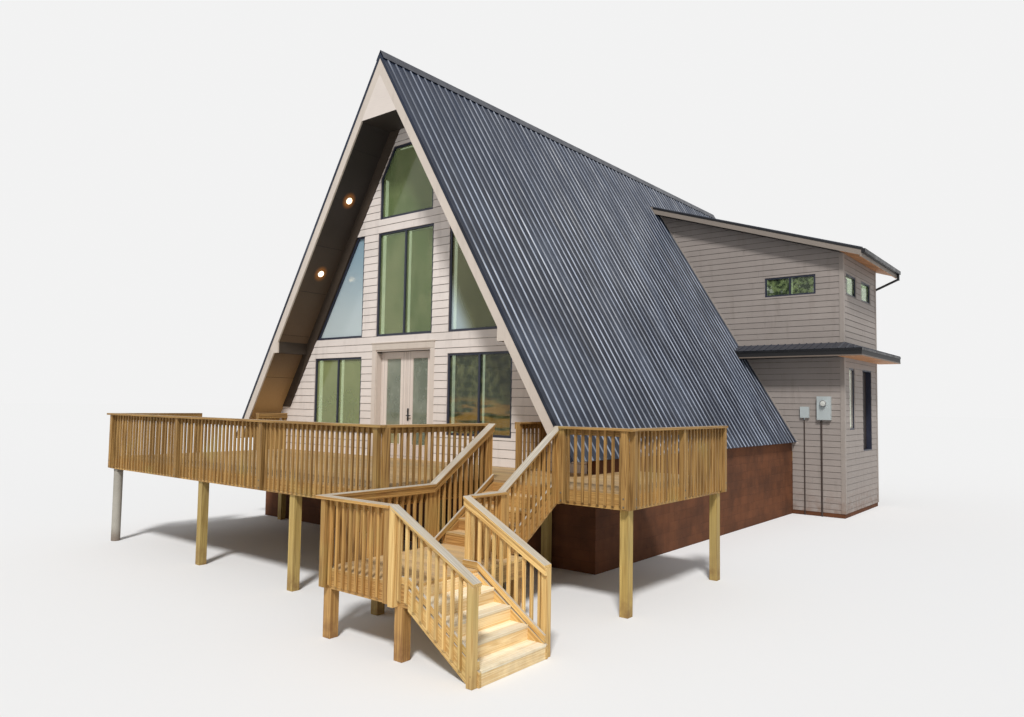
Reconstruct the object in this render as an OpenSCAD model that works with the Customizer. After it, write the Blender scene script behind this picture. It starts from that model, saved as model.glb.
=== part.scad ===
// A-frame cabin: ribbed metal roof, glazed gable with a pair of doors,
// two-storey wing with a shed roof and a pent roof, timber deck with a
// two-flight stair. Millimetres, +Z up. The part stands level at the
// height of the stair foot, which is the lowest ground it meets.

/* [House] */
// Height of the floor and deck above the ground at the stair foot
floor_h = 1800; // [1200:10:2600]
// Height of the ridge above the floor
ridge_h = 9050; // [8700:10:9600]
// Half of the width over the roof slopes at floor level
foot_half = 5475; // [5300:5:5700]
// Height of the roof's lower edge above the floor
foot_z = 290; // [150:10:400]
// Length over the gable walls
house_len = 16400; // [16000:10:19000]
// Overhang of the roof in front of the front gable
over_front = 860; // [600:10:1300]
// Overhang of the roof behind the rear gable
over_rear = 570; // [200:10:900]
// Thickness of the roof slopes
roof_t = 250; // [200:5:280]
// Thickness of the outer walls
wall_t = 190; // [150:5:220]
// Thickness of the floors
slab_t = 280; // [200:5:320]
// Top of the upper floor above the ground floor
upper_z = 2730; // [2700:5:2770]
// Thickness of fascia boards and deck framing
board_t = 38; // [25:1:50]

/* [Metal roof] */
// Thickness of the roofing sheet
sheet_t = 8; // [4:1:12]
// Distance between ribs
rib_pitch = 229; // [200:1:320]
// Height of a rib over the sheet
rib_h = 20; // [12:1:30]
// Width of a rib at its foot
rib_w = 56; // [30:1:80]
// Length of a ridge cap leg
cap_leg = 190; // [120:5:300]
// How far the sheet runs past the roof's lower edge
drip = 30; // [0:5:60]
// Depth of the metal trim on the roof's gable edges
trim_h = 60; // [40:5:90]
// Thickness of that trim
trim_t = 6; // [3:1:10]

/* [Gable boards] */
// Width of the dark boards on the gable under the slopes
frieze_w = 270; // [200:5:320]
// Thickness of those boards
frieze_t = 40; // [25:1:60]
// Height of their lower ends above the floor
frieze_z = 1100; // [900:10:1400]
// Top of the beams under the slopes, above the floor
beam_top = 2720; // [2600:10:2800]
// Depth of those beams
beam_h = 280; // [200:10:320]
// Height of the closed peak above the top window
peak_up = 360; // [250:10:450]
// Thickness of the board that closes the peak below
peak_t = 20; // [15:1:30]

/* [Soffit lights] */
// Height of the upper pair of lights
light_z1 = 6040; // [5800:10:6200]
// Height of the lower pair of lights
light_z0 = 4380; // [4200:10:4700]
// Diameter of a light
light_d = 150; // [100:5:180]
// Depth of a light's rim
light_t = 12; // [6:1:20]

/* [Front windows] */
// Frame face width
frame_w = 50; // [30:1:80]
// Frame depth
frame_d = 90; // [60:1:110]
// Frame face behind the wall face
frame_y = 10; // [5:1:30]
// Thickness of a glazing unit
glass_t = 24; // [12:1:30]
// Clearance between slanted window edges and the dark boards
win_clear = 15; // [5:1:40]
// Half width of the middle window
mid_half = 920; // [800:5:1000]
// Sill of the middle and side upper windows
mid_z0 = 2795; // [2780:5:2900]
// Half width of the top window
top_half = 880; // [700:5:900]
// Half width of the top window's head
top_head = 460; // [350:5:550]
// Wall between the middle and the top window
band_h = 320; // [250:5:400]
// Inner edge of the side windows from the centre line
side_x0 = 1415; // [1300:5:1500]
// Width of the level head of the upper side windows
tri_head = 260; // [150:5:350]
// Wall between the lower side windows and the dark boards
side_gap = 250; // [150:5:500]
// Sill of the lower side windows
side_z0 = 575; // [400:5:800]
// Head of the lower side windows
side_z1 = 2330; // [2200:5:2350]

/* [Front doors] */
// Width over the door frame
door_w = 1830; // [1600:5:1900]
// Height over the door frame
door_h = 2470; // [2300:5:2480]
// Thickness of the door frame
jamb_t = 38; // [30:1:60]
// Running gap around a door leaf
gap = 8; // [5:1:10]
// Thickness of a door leaf
leaf_t = 44; // [35:1:60]
// Width of a leaf's stiles
stile = 125; // [80:5:160]
// Height of a leaf's bottom rail
kick = 270; // [150:5:350]
// Height of the sill
sill_h = 30; // [15:1:40]
// Height of the lever above the floor
lever_z = 960; // [850:5:1100]
// Reach of the lever along the leaf
lever_len = 120; // [90:5:150]
// Distance of the lever from the leaf
lever_out = 44; // [35:1:60]
// Thickness of the lever
lever_t = 12; // [8:1:20]
// Diameter of the lever's and the knob's neck
neck_d = 22; // [16:1:28]
// Height of the lock above the lever
lock_up = 95; // [70:5:140]
// Diameter of the lock's rose
lock_d = 44; // [35:1:60]
// Diameter of the side door's knob
knob_d = 56; // [45:1:70]
// Distance of the knob from the leaf's edge
knob_in = 70; // [55:1:90]
// Width of the door casing
case_w = 110; // [80:5:140]
// Thickness of the door casing
case_t = 19; // [12:1:30]
// Diameter of the door hinges' knuckles
hinge_d = 14; // [12:1:18]
// Height of a door hinge
hinge_h = 100; // [75:5:130]
// Reach of a hinge plate from the knuckle's axis
hinge_w = 16; // [14:1:20]
// Thickness of a hinge plate
hinge_t = 3; // [2:0.5:4]
// Distance of the outer hinges from the ends of the leaf
hinge_end = 190; // [150:5:300]

/* [Wing] */
// Front of the wing behind the front gable
wing_y = 10680; // [9500:10:11200]
// Length of the wing
wing_len = 3720; // [3600:10:4200]
// Side wall of the wing from the centre line
wing_x = 6660; // [6500:10:7200]
// Overhang of the wing roof at its front and rear
wing_over = 350; // [200:10:500]
// Overhang of the wing roof at its low side
wing_eave = 580; // [300:10:650]
// Ridge above the low edge of the wing roof
wing_drop = 3310; // [3200:10:3400]
// Slope of the wing roof
wing_deg = 18.2; // [14:0.1:20]
// Thickness of the wing roof
wing_t = 200; // [150:5:230]
// Depth of the wing roof's fascia
wing_fascia = 250; // [235:5:300]
// Reach of the pent roof
pent_out = 640; // [400:10:700]
// Top of the pent roof at the wall
pent_z = 3150; // [3050:10:3300]
// Fall of the pent roof
pent_fall = 210; // [100:5:260]
// Depth of the pent roof's fascia
pent_fascia = 215; // [160:5:240]
// Heads of the upper windows below the roof's underside at the side wall
win_drop = 540; // [450:10:650]
// Right edge of the front window from the wing's corner
wf_in = 750; // [600:10:900]
// Width of the front window
wf_w = 1490; // [1300:10:1600]
// Height of the front window
wf_h = 580; // [450:10:700]
// First upper side window from the wing's front
ws_in = 270; // [230:10:400]
// Width of an upper side window
ws_w = 1100; // [900:10:1200]
// Height of an upper side window
ws_h = 620; // [450:10:700]
// Distance between the two upper side windows
ws_step = 1660; // [1400:10:1700]
// Narrow lower side window from the wing's front
wl_in = 540; // [400:10:700]
// Width of the narrow window
wl_w = 560; // [400:10:650]
// Sill of the narrow window
wl_z = 660; // [500:10:800]
// Height of the narrow window
wl_h = 1790; // [1500:10:1790]
// Side door: distance from the front to its frame
wd_y = 1980; // [1600:10:2200]
// Width over the side door's frame
wd_w = 1060; // [960:10:1100]
// Height over the side door's frame
wd_h = 2460; // [2200:10:2480]
// Width of the gutter
gutter_w = 110; // [90:1:140]
// Depth of the gutter
gutter_h = 110; // [80:1:130]
// Thickness of the gutter
gutter_t = 6; // [4:1:8]
// Drop from the wing roof's edge to the gutter's rim
gutter_drop = 30; // [20:1:50]
// Diameter of the downspout
spout_d = 76; // [60:1:90]
// Downspout's distance from the gutter's end
spout_in = 100; // [60:5:200]
// Length of the outlet under the gutter
outlet_h = 200; // [180:5:260]
// Fall of the downspout's slanted run
spout_fall = 330; // [250:10:400]
// Clearance of the downspout from the rear wall
spout_gap = 6; // [3:1:20]

/* [Meter] */
// Left edge of the meter panel from the wing's corner
meter_in = 720; // [600:10:900]
// Width of the meter panel
meter_w = 380; // [300:10:450]
// Depth of the meter panel
meter_t = 110; // [80:5:150]
// Lower edge of the meter panel
meter_z = 940; // [800:10:1100]
// Height of the meter panel
meter_h = 670; // [500:10:800]
// Diameter of the round meter
meter_d = 170; // [140:5:200]
// How far the round meter stands out
meter_out = 60; // [40:5:90]
// Distance of the round meter's middle from the top of the panel
meter_down = 200; // [150:5:300]
// Left edge of the small box from the wing's corner
switch_in = 1200; // [1150:10:1400]
// Width of the small box
switch_w = 250; // [200:10:300]
// Depth of the small box
switch_t = 80; // [60:5:110]
// Lower edge of the small box
switch_z = 990; // [900:10:1100]
// Height of the small box
switch_h = 320; // [250:10:400]
// Diameter of the panel's conduit
duct_d = 48; // [34:1:60]
// Diameter of the small box's conduit
duct_small = 34; // [20:1:48]
// Clearance of the conduits from the wall
duct_gap = 5; // [3:1:20]
// Distance of the conduits from the left edge of their boxes
duct_in = 105; // [60:5:150]

/* [Deck] */
// Deck's left end from the underside of the slope at rail height
deck_in = 270; // [200:10:500]
// Depth of the deck in front of the gable
deck_f = 4370; // [3800:10:4800]
// Edge of the deck beside the stair from the centre line
stair_x = 4300; // [4200:10:4500]
// Width of the stair
stair_w = 1320; // [1100:10:1500]
// Depth of the deck at the stair head
head_y = 2080; // [1800:10:2400]
// Right end of the deck from the centre line
deck_r = 7080; // [6900:10:7300]
// How far the deck runs back along the house
deck_b = 1230; // [900:10:1500]
// Open way onto the deck at its left end
way_w = 1510; // [1000:10:1600]
// Thickness of the deck boards
plank_t = 38; // [25:1:45]
// Depth of the deck joists
joist_h = 225; // [180:5:250]
// Distance between the joists
joist_p = 406; // [300:2:610]
// Size of the deck posts
post_w = 140; // [90:5:160]
// Diameter of the round pier
pier_d = 180; // [150:5:240]
// Height of the pier's cap
pier_cap = 60; // [40:5:100]
// Centre of a corner post from the deck's edge
post_in = 100; // [70:5:150]
// First front post from the centre line, to the left
post_left = 720; // [500:10:900]
// Second front post from the centre line, to the right
post_right = 2150; // [1900:10:2400]
// Posts at the wall from the centre line
post_wall = 1450; // [1300:10:1600]

/* [Rails] */
// Height of the rail above the deck
rail_h = 930; // [900:5:1070]
// Width of the flat cap
cap_w = 140; // [120:5:160]
// Size of a baluster
bal = 38; // [30:1:42]
// Distance between balusters
bal_p = 122; // [110:1:138]
// Size of a rail post
rpost = 89; // [80:1:100]
// Depth of the board under the cap
sub_h = 89; // [60:1:110]
// First inner post of the front rail from its left end
mid_post1 = 2860; // [2600:10:3100]
// Second inner post of the front rail from its left end
mid_post2 = 5700; // [5400:10:5900]
// Inner post of the right side rail from its front end
side_post = 1640; // [1500:10:1800]
// Right rail under the eave, from the underside of the slope
eave_in = 620; // [400:10:800]
// Clearance between a baluster and a post
bal_clear = 12; // [8:1:30]
// Clearance of a sloped rail's bottom rail over the steps
rail_gap = 6; // [5:1:20]

/* [Stairs] */
// Risers of the upper flight
risers_up = 5; // [4:1:6]
// Risers of the lower flight
risers_low = 5; // [4:1:6]
// Depth of the stair sides, measured upright
string_h = 290; // [270:5:320]
// Overhang of a tread
nosing = 25; // [10:1:35]
// Thickness of the risers
riser_t = 20; // [15:1:25]
// Going of a step
going = 275; // [250:5:300]
// Front of the landing
land_y = 5450; // [5350:10:5600]
// Width of the lower flight
low_w = 1260; // [1100:10:1400]
// How far the landing runs past the stair
land_out = 260; // [220:10:300]

/* [Hidden] */

// Clearance of pieces that seat on a slope
seat = 0.3;
// Depth by which pieces of one solid are let into each other
bite = 6;
// How far a cut runs past the face that it starts from
past = 1;
// Slope of the main roof from the vertical and from the horizontal
lean = atan(foot_half / ridge_h);
fall = 90 - lean;
k_slope = foot_half / ridge_h;
// Level and upright thickness of the slopes
roof_hx = roof_t / cos(lean);
roof_vz = roof_t / sin(lean);
slope_len = (ridge_h - foot_z) / cos(lean);
seat_x = seat / cos(lean);
frieze_hx = frieze_w / cos(lean);
// Outer and inner half width of the slopes at a height
function hx(z) = k_slope * (ridge_h - z);
function hin(z) = hx(z) - roof_hx;
// The same for what seats against them
function ho(z) = hx(z) + seat_x;
function hw(z) = hin(z) - seat_x;
// Inner edge of the dark boards
function hf(z) = hin(z) - frieze_hx;
wall_top = ridge_h - roof_vz - seat / sin(lean);
frieze_top = ridge_h - (roof_hx + frieze_hx) / k_slope;
// Skirt walls stand under the lower edge of the slopes
skirt_in = floor(hw(foot_z));
skirt_out = skirt_in + wall_t;
// Front windows follow the dark boards
function z_at(x) = ridge_h - (x + win_clear + frieze_hx + roof_hx) / k_slope;
head_z = z_at(side_x0 + tri_head);
top_z0 = head_z + band_h;
top_z1 = z_at(top_half);
top_z2 = z_at(top_head);
side_x1 = hf(side_z1) - side_gap;
peak_z = top_z2 + peak_up;
// Wing roof lines
wing_z = ridge_h - wing_drop;
wing_end = wing_x + wing_eave;
wing_back = wing_y + wing_len;
wt = tan(wing_deg);
wseat = seat / cos(wing_deg);
function wtop(x) = wing_z + (wing_end - x) * wt;
function wbot(x) = wtop(x) - wing_t / cos(wing_deg);
function wcap(x) = wbot(x) - wseat;
// Where a line z = a - wt * x meets a slope line that is d outside the outer face
function meet(a, d) = (k_slope * (ridge_h - a) + d) / (1 - k_slope * wt);
in_x = meet(wcap(0), -roof_hx);
bot_x = meet(wbot(0), seat_x);
top_x = meet(wtop(0), seat_x);
win_head = wcap(wing_x) - win_drop;
// Stairs
riser_up = floor_h * risers_up / (risers_up + risers_low) / risers_up;
land_z = -riser_up * risers_up;
riser_low = (floor_h + land_z) / risers_low;
fl_x = stair_x + 2 * rpost;
deck_l = hin(rail_h) - deck_in;
eave_x = hin(rail_h) - eave_in;
cap_out = (cap_w - rpost) / 2;
stair_r = fl_x + stair_w;
land_b = head_y + going * (risers_up - 1);
rail_b = head_y + going * risers_up;
land_r = stair_r + land_out;
rim_z = -(plank_t + joist_h);
// Overall box, for the origin at the middle of the base
x_hi = wing_end + gutter_w;
x_lo = -(hx(foot_z) + drip * sin(lean) + (sheet_t + rib_h) * cos(lean));
y_lo = -(land_y + rpost + cap_out);
y_hi = house_len + over_rear + board_t + trim_t + seat;

// Moves the house frame (front gable centre at floor level) to the origin
module place() {
    translate([-(x_hi + x_lo) / 2, -(y_hi + y_lo) / 2, floor_h]) children();
}
module box(a, b) { translate(a) cube([b[0] - a[0], b[1] - a[1], b[2] - a[2]]); }
// Upright outline in X and Z, extruded from y0 to y1
module xz(y0, y1, pts) {
    translate([0, y1, 0]) rotate([90, 0, 0]) linear_extrude(height = y1 - y0) polygon(pts);
}
// Upright outline in Y and Z, extruded from x0 to x1
module yz(x0, x1, pts) {
    translate([x0, 0, 0]) rotate([90, 0, 90]) linear_extrude(height = x1 - x0) polygon(pts);
}
function rect(x0, z0, x1, z1) = [[x0, z0], [x1, z0], [x1, z1], [x0, z1]];
function flip(p) = [for (i = [len(p) - 1:-1:0]) [-p[i][0], p[i][1]]];
function edge_n(a, b) = let (v = b - a, l = norm(v)) [-v[1] / l, v[0] / l];
function inset(p, d) = [for (i = [0:len(p) - 1])
    let (a = p[(i + len(p) - 1) % len(p)], b = p[i], c = p[(i + 1) % len(p)],
        n1 = edge_n(a, b), n2 = edge_n(b, c)) b + (n1 + n2) * d / (1 + n1 * n2)];

// Front openings
w_mid = rect(-mid_half, mid_z0, mid_half, head_z);
w_top = [[-top_half, top_z0], [top_half, top_z0], [top_half, top_z1],
    [top_head, top_z2], [-top_head, top_z2], [-top_half, top_z1]];
w_tri = [[side_x0, mid_z0], [hf(mid_z0) - win_clear, mid_z0],
    [side_x0 + tri_head, head_z], [side_x0, head_z]];
w_low = rect(side_x0, side_z0, side_x1, side_z1);
upper_wins = [w_mid, w_top, w_tri, flip(w_tri)];
lower_wins = [w_low, flip(w_low)];
// Wing openings
wf_x1 = wing_x - wf_in;
wf_x0 = wf_x1 - wf_w;
w_front = rect(wf_x0, win_head - wf_h, wf_x1, win_head);
function ybox(y, z, w, h) = rect(wing_y + y, z, wing_y + y + w, z + h);
w_sides = [for (i = [0, 1]) ybox(ws_in + i * ws_step, win_head - ws_h, ws_w, ws_h)];
w_narrow = ybox(wl_in, wl_z, wl_w, wl_h);
wd0 = wing_y + wd_y;
wd1 = wd0 + wd_w;

// Shell of the house
module foundation() color("#5e3a24") place() difference() {
    union() {
        difference() {
            box([-skirt_out, 0, -floor_h], [skirt_out, house_len, foot_z]);
            box([-skirt_in, wall_t, -floor_h - past], [skirt_in, house_len - wall_t, foot_z + past]);
            // the floor and the gables sit on the end walls
            box([-skirt_in, -past, -slab_t], [skirt_in, house_len + past, foot_z + past]);
        }
        difference() {
            box([skirt_out - bite, wing_y, -floor_h], [wing_x, wing_back, -slab_t]);
            box([skirt_out - 2 * bite, wing_y + wall_t, -floor_h - past],
                [wing_x - wall_t, wing_back - wall_t, 0]);
        }
    }
    // the wing's floor runs in over the side wall
    box([skirt_in - past, wing_y, -slab_t], [wing_x + past, wing_back, foot_z + past]);
}
upper_under = upper_z - slab_t;
module house_floors() color("#9c8465") place() {
    box([-skirt_in, 0, -slab_t], [skirt_in, house_len, 0]);
    xz(wall_t, house_len - wall_t, [[-hw(upper_under), upper_under],
        [hw(upper_under), upper_under], [hw(upper_z), upper_z], [-hw(upper_z), upper_z]]);
}
// Right half of the gable wall below the door head
half_wall = [[door_w / 2, 0], [skirt_in, 0], [skirt_in, foot_z],
    [hw(door_h), door_h], [door_w / 2, door_h]];
module wall_with(y0, y1, outline, wins) difference() {
    xz(y0, y1, outline);
    for (w = wins) xz(y0 - past, y1 + past, w);
}
module front_wall_left() color("#b7a699") place()
    wall_with(0, wall_t, flip(half_wall), [flip(w_low)]);
module front_wall_right() color("#b7a699") place() wall_with(0, wall_t, half_wall, [w_low]);
module front_wall_upper() color("#b7a699") place()
    wall_with(0, wall_t, [[-hw(door_h), door_h], [hw(door_h), door_h], [0, wall_top]], upper_wins);
module rear_wall() color("#b7a699") place()
    xz(house_len - wall_t, house_len, [[-skirt_in, 0], [skirt_in, 0], [skirt_in, foot_z],
        [0, wall_top], [-skirt_in, foot_z]]);

// Roof
slope_prof = [[0, ridge_h - roof_vz], [hin(foot_z), foot_z], [hx(foot_z), foot_z], [0, ridge_h]];
y_front = -over_front;
y_rear = house_len + over_rear;
// Edge of the wing's cuts inside the house
cut_x = hin(peak_z) / 2;
// Space that the wing takes out of the right slope
module wing_space(rise) xz(wing_y, wing_back, [[cut_x, -slab_t - past], [wing_end, -slab_t - past],
    [wing_end, wbot(wing_end) + rise], [cut_x, wbot(cut_x) + rise]]);
module roof_left() color("#4a4038") place() mirror([1, 0, 0]) xz(y_front, y_rear, slope_prof);
module roof_right() color("#4a4038") place() difference() {
    xz(y_front, y_rear, slope_prof);
    wing_space(0);
}
// Ribbed sheet: ribs along X, spread over len in Y, lying on z = 0
rib_side = 0.28;
module ribbed(run, len, pitch) {
    n = floor((len - rib_w) / pitch);
    m = (len - n * pitch - rib_w) / 2;
    yz(0, run, concat([[0, 0], [len, 0], [len, sheet_t]],
        [for (i = [n:-1:0]) let (c = m + i * pitch)
            each [[c + rib_w, sheet_t], [c + rib_w * (1 - rib_side), sheet_t + rib_h],
                [c + rib_w * rib_side, sheet_t + rib_h], [c, sheet_t]]],
        [[0, sheet_t]]));
}
metal_y0 = y_front - board_t;
metal_y1 = y_rear + board_t;
metal_run = slope_len + drip;
module main_sheet() translate([0, metal_y0, ridge_h]) rotate([0, fall, 0]) {
    ribbed(metal_run, metal_y1 - metal_y0, rib_pitch);
    // trim folded down over the rake boards, mitred at the ridge
    for (s = [0, 1]) translate([0, s * (metal_y1 - metal_y0), 0]) mirror([0, s, 0]) {
        xz(-trim_t - seat, -seat, [[(seat + trim_h * cos(lean)) / sin(lean), -trim_h],
            [slope_len, -trim_h], [slope_len, sheet_t], [seat / sin(lean), sheet_t], [seat / sin(lean), 0]]);
        box([seat / sin(lean), -trim_t - seat, 0], [slope_len, bite, sheet_t]);
    }
}
module roof_metal_left() color("#2e333b") place() mirror([1, 0, 0]) main_sheet();
metal_t = sheet_t + rib_h;
metal_v = (metal_t + 2 * seat) / cos(wing_deg);
module roof_metal_right() color("#2e333b") place() difference() {
    main_sheet();
    // the wing's walls and roof and the pent roof pass through
    wing_space(wing_t / 2);
    xz(wing_y - wing_over, wing_back + wing_over, [[cut_x, wcap(cut_x)], [wing_end, wcap(wing_end)],
        [wing_end, wtop(wing_end) + metal_v], [cut_x, wtop(cut_x) + metal_v]]);
    yz(skirt_in / 2, wing_x, [[wing_y + past, pent_z0 - seat], [wing_y + past, pent_z + 2 * seat],
        [pent_y - seat, pent_z1 + 2 * seat], [pent_y - seat, pent_z0 - seat]]);
}
// Ridge cap: two legs that lie on the ribs
cap_n = metal_t + seat;
cap_pts = [[0, ridge_h + cap_n / sin(lean)],
    [cap_leg * sin(lean) + cap_n * cos(lean), ridge_h + cap_n * sin(lean) - cap_leg * cos(lean)],
    [cap_leg * sin(lean) + (cap_n + sheet_t) * cos(lean),
        ridge_h + (cap_n + sheet_t) * sin(lean) - cap_leg * cos(lean)],
    [0, ridge_h + (cap_n + sheet_t) / sin(lean)]];
module ridge_cap() color("#262b38") place()
    xz(metal_y0, metal_y1, concat(cap_pts, [flip(cap_pts)[1], flip(cap_pts)[2]]));
beam_pts = [[hw(beam_top), beam_top - beam_h], [hw(beam_top - beam_h), beam_top - beam_h],
    [hw(beam_top), beam_top]];
module rake(y0) xz(y0, y0 + board_t, [[0, ridge_h - roof_vz], [hin(foot_z), foot_z],
    [hx(foot_z), foot_z], [0, ridge_h], [-hx(foot_z), foot_z], [-hin(foot_z), foot_z]]);
module rake_fascias() color("#cdbcae") place() {
    rake(metal_y0);
    rake(y_rear);
    // the board covers the ends of the two beams
    for (s = [0, 1]) mirror([s, 0, 0]) xz(metal_y0, y_front,
        [beam_pts[0], beam_pts[1] + [bite, 0], beam_pts[2] + [bite, 0]]);
}
module peak_panel() color("#b7a699") place() {
    xz(metal_y0, y_front, [[-hw(peak_z), peak_z], [hw(peak_z), peak_z], [0, wall_top]]);
    xz(y_front, -frieze_t, [[-hw(peak_z), peak_z], [hw(peak_z), peak_z],
        [hw(peak_z + peak_t), peak_z + peak_t], [-hw(peak_z + peak_t), peak_z + peak_t]]);
}
// Beams under the slopes, with a level underside and an upright inner face, and
// the dark boards that follow the slopes on the gable wall
module soffit_beams() color("#43372e") place() {
    xz(-frieze_t, 0, [[hw(frieze_z), frieze_z], [0, wall_top], [-hw(frieze_z), frieze_z],
        [-hf(frieze_z), frieze_z], [0, frieze_top], [hf(frieze_z), frieze_z]]);
    for (s = [0, 1]) mirror([s, 0, 0]) xz(y_front, 0, beam_pts);
}
module soffit_lights() color("#ffe2b0") place() for (s = [0, 1]) mirror([s, 0, 0])
    for (z = [light_z0, light_z1]) translate([hin(z), -over_front / 2, z]) rotate([0, fall, 0])
        translate([0, 0, -light_t - seat]) cylinder(h = light_t, d = light_d, $fn = 48);

// Front windows and doors
module frame_of(p, y0, d, w) difference() {
    xz(y0, y0 + d, p);
    xz(y0 - past, y0 + d + past, inset(p, w));
}
module bar(x, z0, z1, y0, d, w) box([x - w / 2, y0, z0], [x + w / 2, y0 + d, z1]);
low_mid = (side_x0 + side_x1) / 2;
module front_frames() color("#23262d") place() {
    for (w = concat(upper_wins, lower_wins)) frame_of(w, frame_y, frame_d, frame_w);
    bar(0, mid_z0, head_z, frame_y, frame_d, frame_w);
    for (s = [-1, 1]) bar(s * low_mid, side_z0, side_z1, frame_y, frame_d, frame_w);
}
module front_door_frame() color("#cbbbae") place() {
    difference() {
        box([-door_w / 2, 0, 0], [door_w / 2, wall_t, door_h]);
        box([-door_w / 2 + jamb_t, -past, sill_h], [door_w / 2 - jamb_t, wall_t + past, door_h - jamb_t]);
    }
    for (s = [0, 1]) mirror([s, 0, 0]) {
        box([(door_w - jamb_t) / 2, -case_t, 0], [door_w / 2 + case_w, 0, door_h]);
        front_hinges(false);
    }
}
glass_y = frame_y + (frame_d - glass_t) / 2;
module pane(p, y0) xz(y0, y0 + glass_t, p);
module front_glass() color("#6f8f86") place() {
    for (w = [w_top, w_tri, flip(w_tri)]) pane(inset(w, frame_w), glass_y);
    for (s = [0, 1]) mirror([s, 0, 0]) {
        pane(rect(frame_w / 2, mid_z0 + frame_w, mid_half - frame_w, head_z - frame_w), glass_y);
        pane(rect(side_x0 + frame_w, side_z0 + frame_w, low_mid - frame_w / 2, side_z1 - frame_w), glass_y);
        pane(rect(low_mid + frame_w / 2, side_z0 + frame_w, side_x1 - frame_w, side_z1 - frame_w), glass_y);
    }
}
// One leaf of the pair, drawn at the left; it lies flush with the inner face
leaf_x0 = -door_w / 2 + jamb_t + gap;
leaf_x1 = -gap / 2;
leaf_z0 = sill_h + gap;
leaf_z1 = door_h - jamb_t - gap;
leaf_y0 = wall_t - leaf_t;
lock_x = leaf_x1 - stile / 2;
hinge_zs = [leaf_z0 + hinge_end, (leaf_z0 + leaf_z1 - hinge_h) / 2, leaf_z1 - hinge_end - hinge_h];
// Half of the hinges of one leaf, on the leaf or on the jamb. The axis is on Z, the
// face that the plates lie on is at -Y and the leaf at +X.
module hinges(on_leaf) mirror([on_leaf ? 0 : 1, 0, 0]) for (z = hinge_zs, i = on_leaf ? [1] : [0, 2])
    let (play = on_leaf ? seat : 0, h = hinge_h / 3 - 2 * play)
    translate([0, 0, z + i * hinge_h / 3 + play]) {
        cylinder(h = h, d = hinge_d, $fn = 32);
        box([gap / 2 - past, -hinge_d / 2, 0], [hinge_w, hinge_t - hinge_d / 2, h]);
    }
module front_hinges(on_leaf) translate([leaf_x0 - gap / 2, wall_t + hinge_d / 2, 0]) hinges(on_leaf);
module side_hinges(on_leaf) translate([side_in - hinge_d / 2, wd1 - jamb_t - gap / 2, 0])
    mirror([1, 0, 0]) rotate([0, 0, -90]) hinges(on_leaf);
module leaf() {
    difference() {
        box([leaf_x0, leaf_y0, leaf_z0], [leaf_x1, wall_t, leaf_z1]);
        box([leaf_x0 + stile, leaf_y0 - past, leaf_z0 + kick],
            [leaf_x1 - stile, wall_t + past, leaf_z1 - stile]);
    }
    front_hinges(true);
}
module leaf_glass() translate([0, (glass_t - leaf_t) / 2, 0])
    pane(rect(leaf_x0 + stile, leaf_z0 + kick, leaf_x1 - stile, leaf_z1 - stile), wall_t - glass_t);
module lever() translate([lock_x, leaf_y0, lever_z]) {
    box([-neck_d, -neck_d / 2, -lever_len], [neck_d, 0, lever_len + lock_d]);
    translate([0, -lever_out, 0]) rotate([-90, 0, 0]) cylinder(h = lever_out, d = neck_d, $fn = 32);
    box([-lever_len, -lever_out - lever_t, -neck_d / 2], [neck_d / 2, bite - lever_out, neck_d / 2]);
    translate([0, -neck_d, lock_up]) rotate([-90, 0, 0]) cylinder(h = neck_d, d = lock_d - bite, $fn = 40);
}
module door_left() color("#cbbbae") place() leaf();
module door_left_glass() color("#6f8f86") place() leaf_glass();
module door_right() color("#cbbbae") place() mirror([1, 0, 0]) union() {
    leaf();
    lever();
}
module door_right_glass() color("#6f8f86") place() mirror([1, 0, 0]) leaf_glass();

// Wing
module wing_floors() color("#9c8465") place() {
    box([skirt_in, wing_y, -slab_t], [wing_x, wing_back, 0]);
    xz(wing_y + wall_t, wing_back - wall_t, [[hin(upper_under), upper_under],
        [wing_x - wall_t, upper_under], [wing_x - wall_t, upper_z], [hin(upper_z), upper_z]]);
}
// End wall of the wing, from the inner face of the slope to the side wall
wing_end_wall = [[skirt_in, 0], [wing_x, 0], [wing_x, wcap(wing_x)], [in_x, wcap(in_x)],
    [hin(foot_z), foot_z], [skirt_in, foot_z]];
module wing_wall_front() color("#b7a699") place()
    wall_with(wing_y, wing_y + wall_t, wing_end_wall, [w_front]);
module wing_wall_rear() color("#b7a699") place() xz(wing_back - wall_t, wing_back, wing_end_wall);
side_in = wing_x - wall_t;
module wing_wall_side() color("#b7a699") place() {
    difference() {
        box([side_in, wing_y + wall_t, 0], [wing_x, wd0, wd_h]);
        yz(side_in - past, wing_x + past, w_narrow);
    }
    box([side_in, wd1, 0], [wing_x, wing_back - wall_t, wd_h]);
}
module wing_wall_door() color("#b7a699") place() difference() {
    xz(wing_y + wall_t, wing_back - wall_t, [[side_in, wd_h], [wing_x, wd_h],
        [wing_x, wcap(wing_x)], [side_in, wcap(side_in)]]);
    for (w = w_sides) yz(side_in - past, wing_x + past, w);
}
module wing_roof() color("#cdbcae") place()
    xz(wing_y - wing_over, wing_back + wing_over, [[bot_x, wbot(bot_x)],
        [wing_end - board_t, wbot(wing_end - board_t)], [wing_end - board_t, wing_z - wing_fascia],
        [wing_end, wing_z - wing_fascia], [wing_end, wing_z], [top_x, wtop(top_x)]]);
wing_run = (wing_end - top_x) / cos(wing_deg) + slab_t;
module wing_roof_metal() color("#2e333b") place() intersection() {
    translate([wing_end, wing_y - wing_over, wing_z]) rotate([0, wing_deg, 0])
        translate([-wing_run, 0, seat]) ribbed(wing_run + drip, wing_len + 2 * wing_over, rib_pitch);
    // stops at the main slope
    xz(wing_y - wing_over - past, wing_back + wing_over + past,
        [[ho(wing_z - slab_t), wing_z - slab_t], [wing_end + slab_t, wing_z - slab_t],
            [wing_end + slab_t, ridge_h], [ho(ridge_h), ridge_h]]);
}
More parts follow.
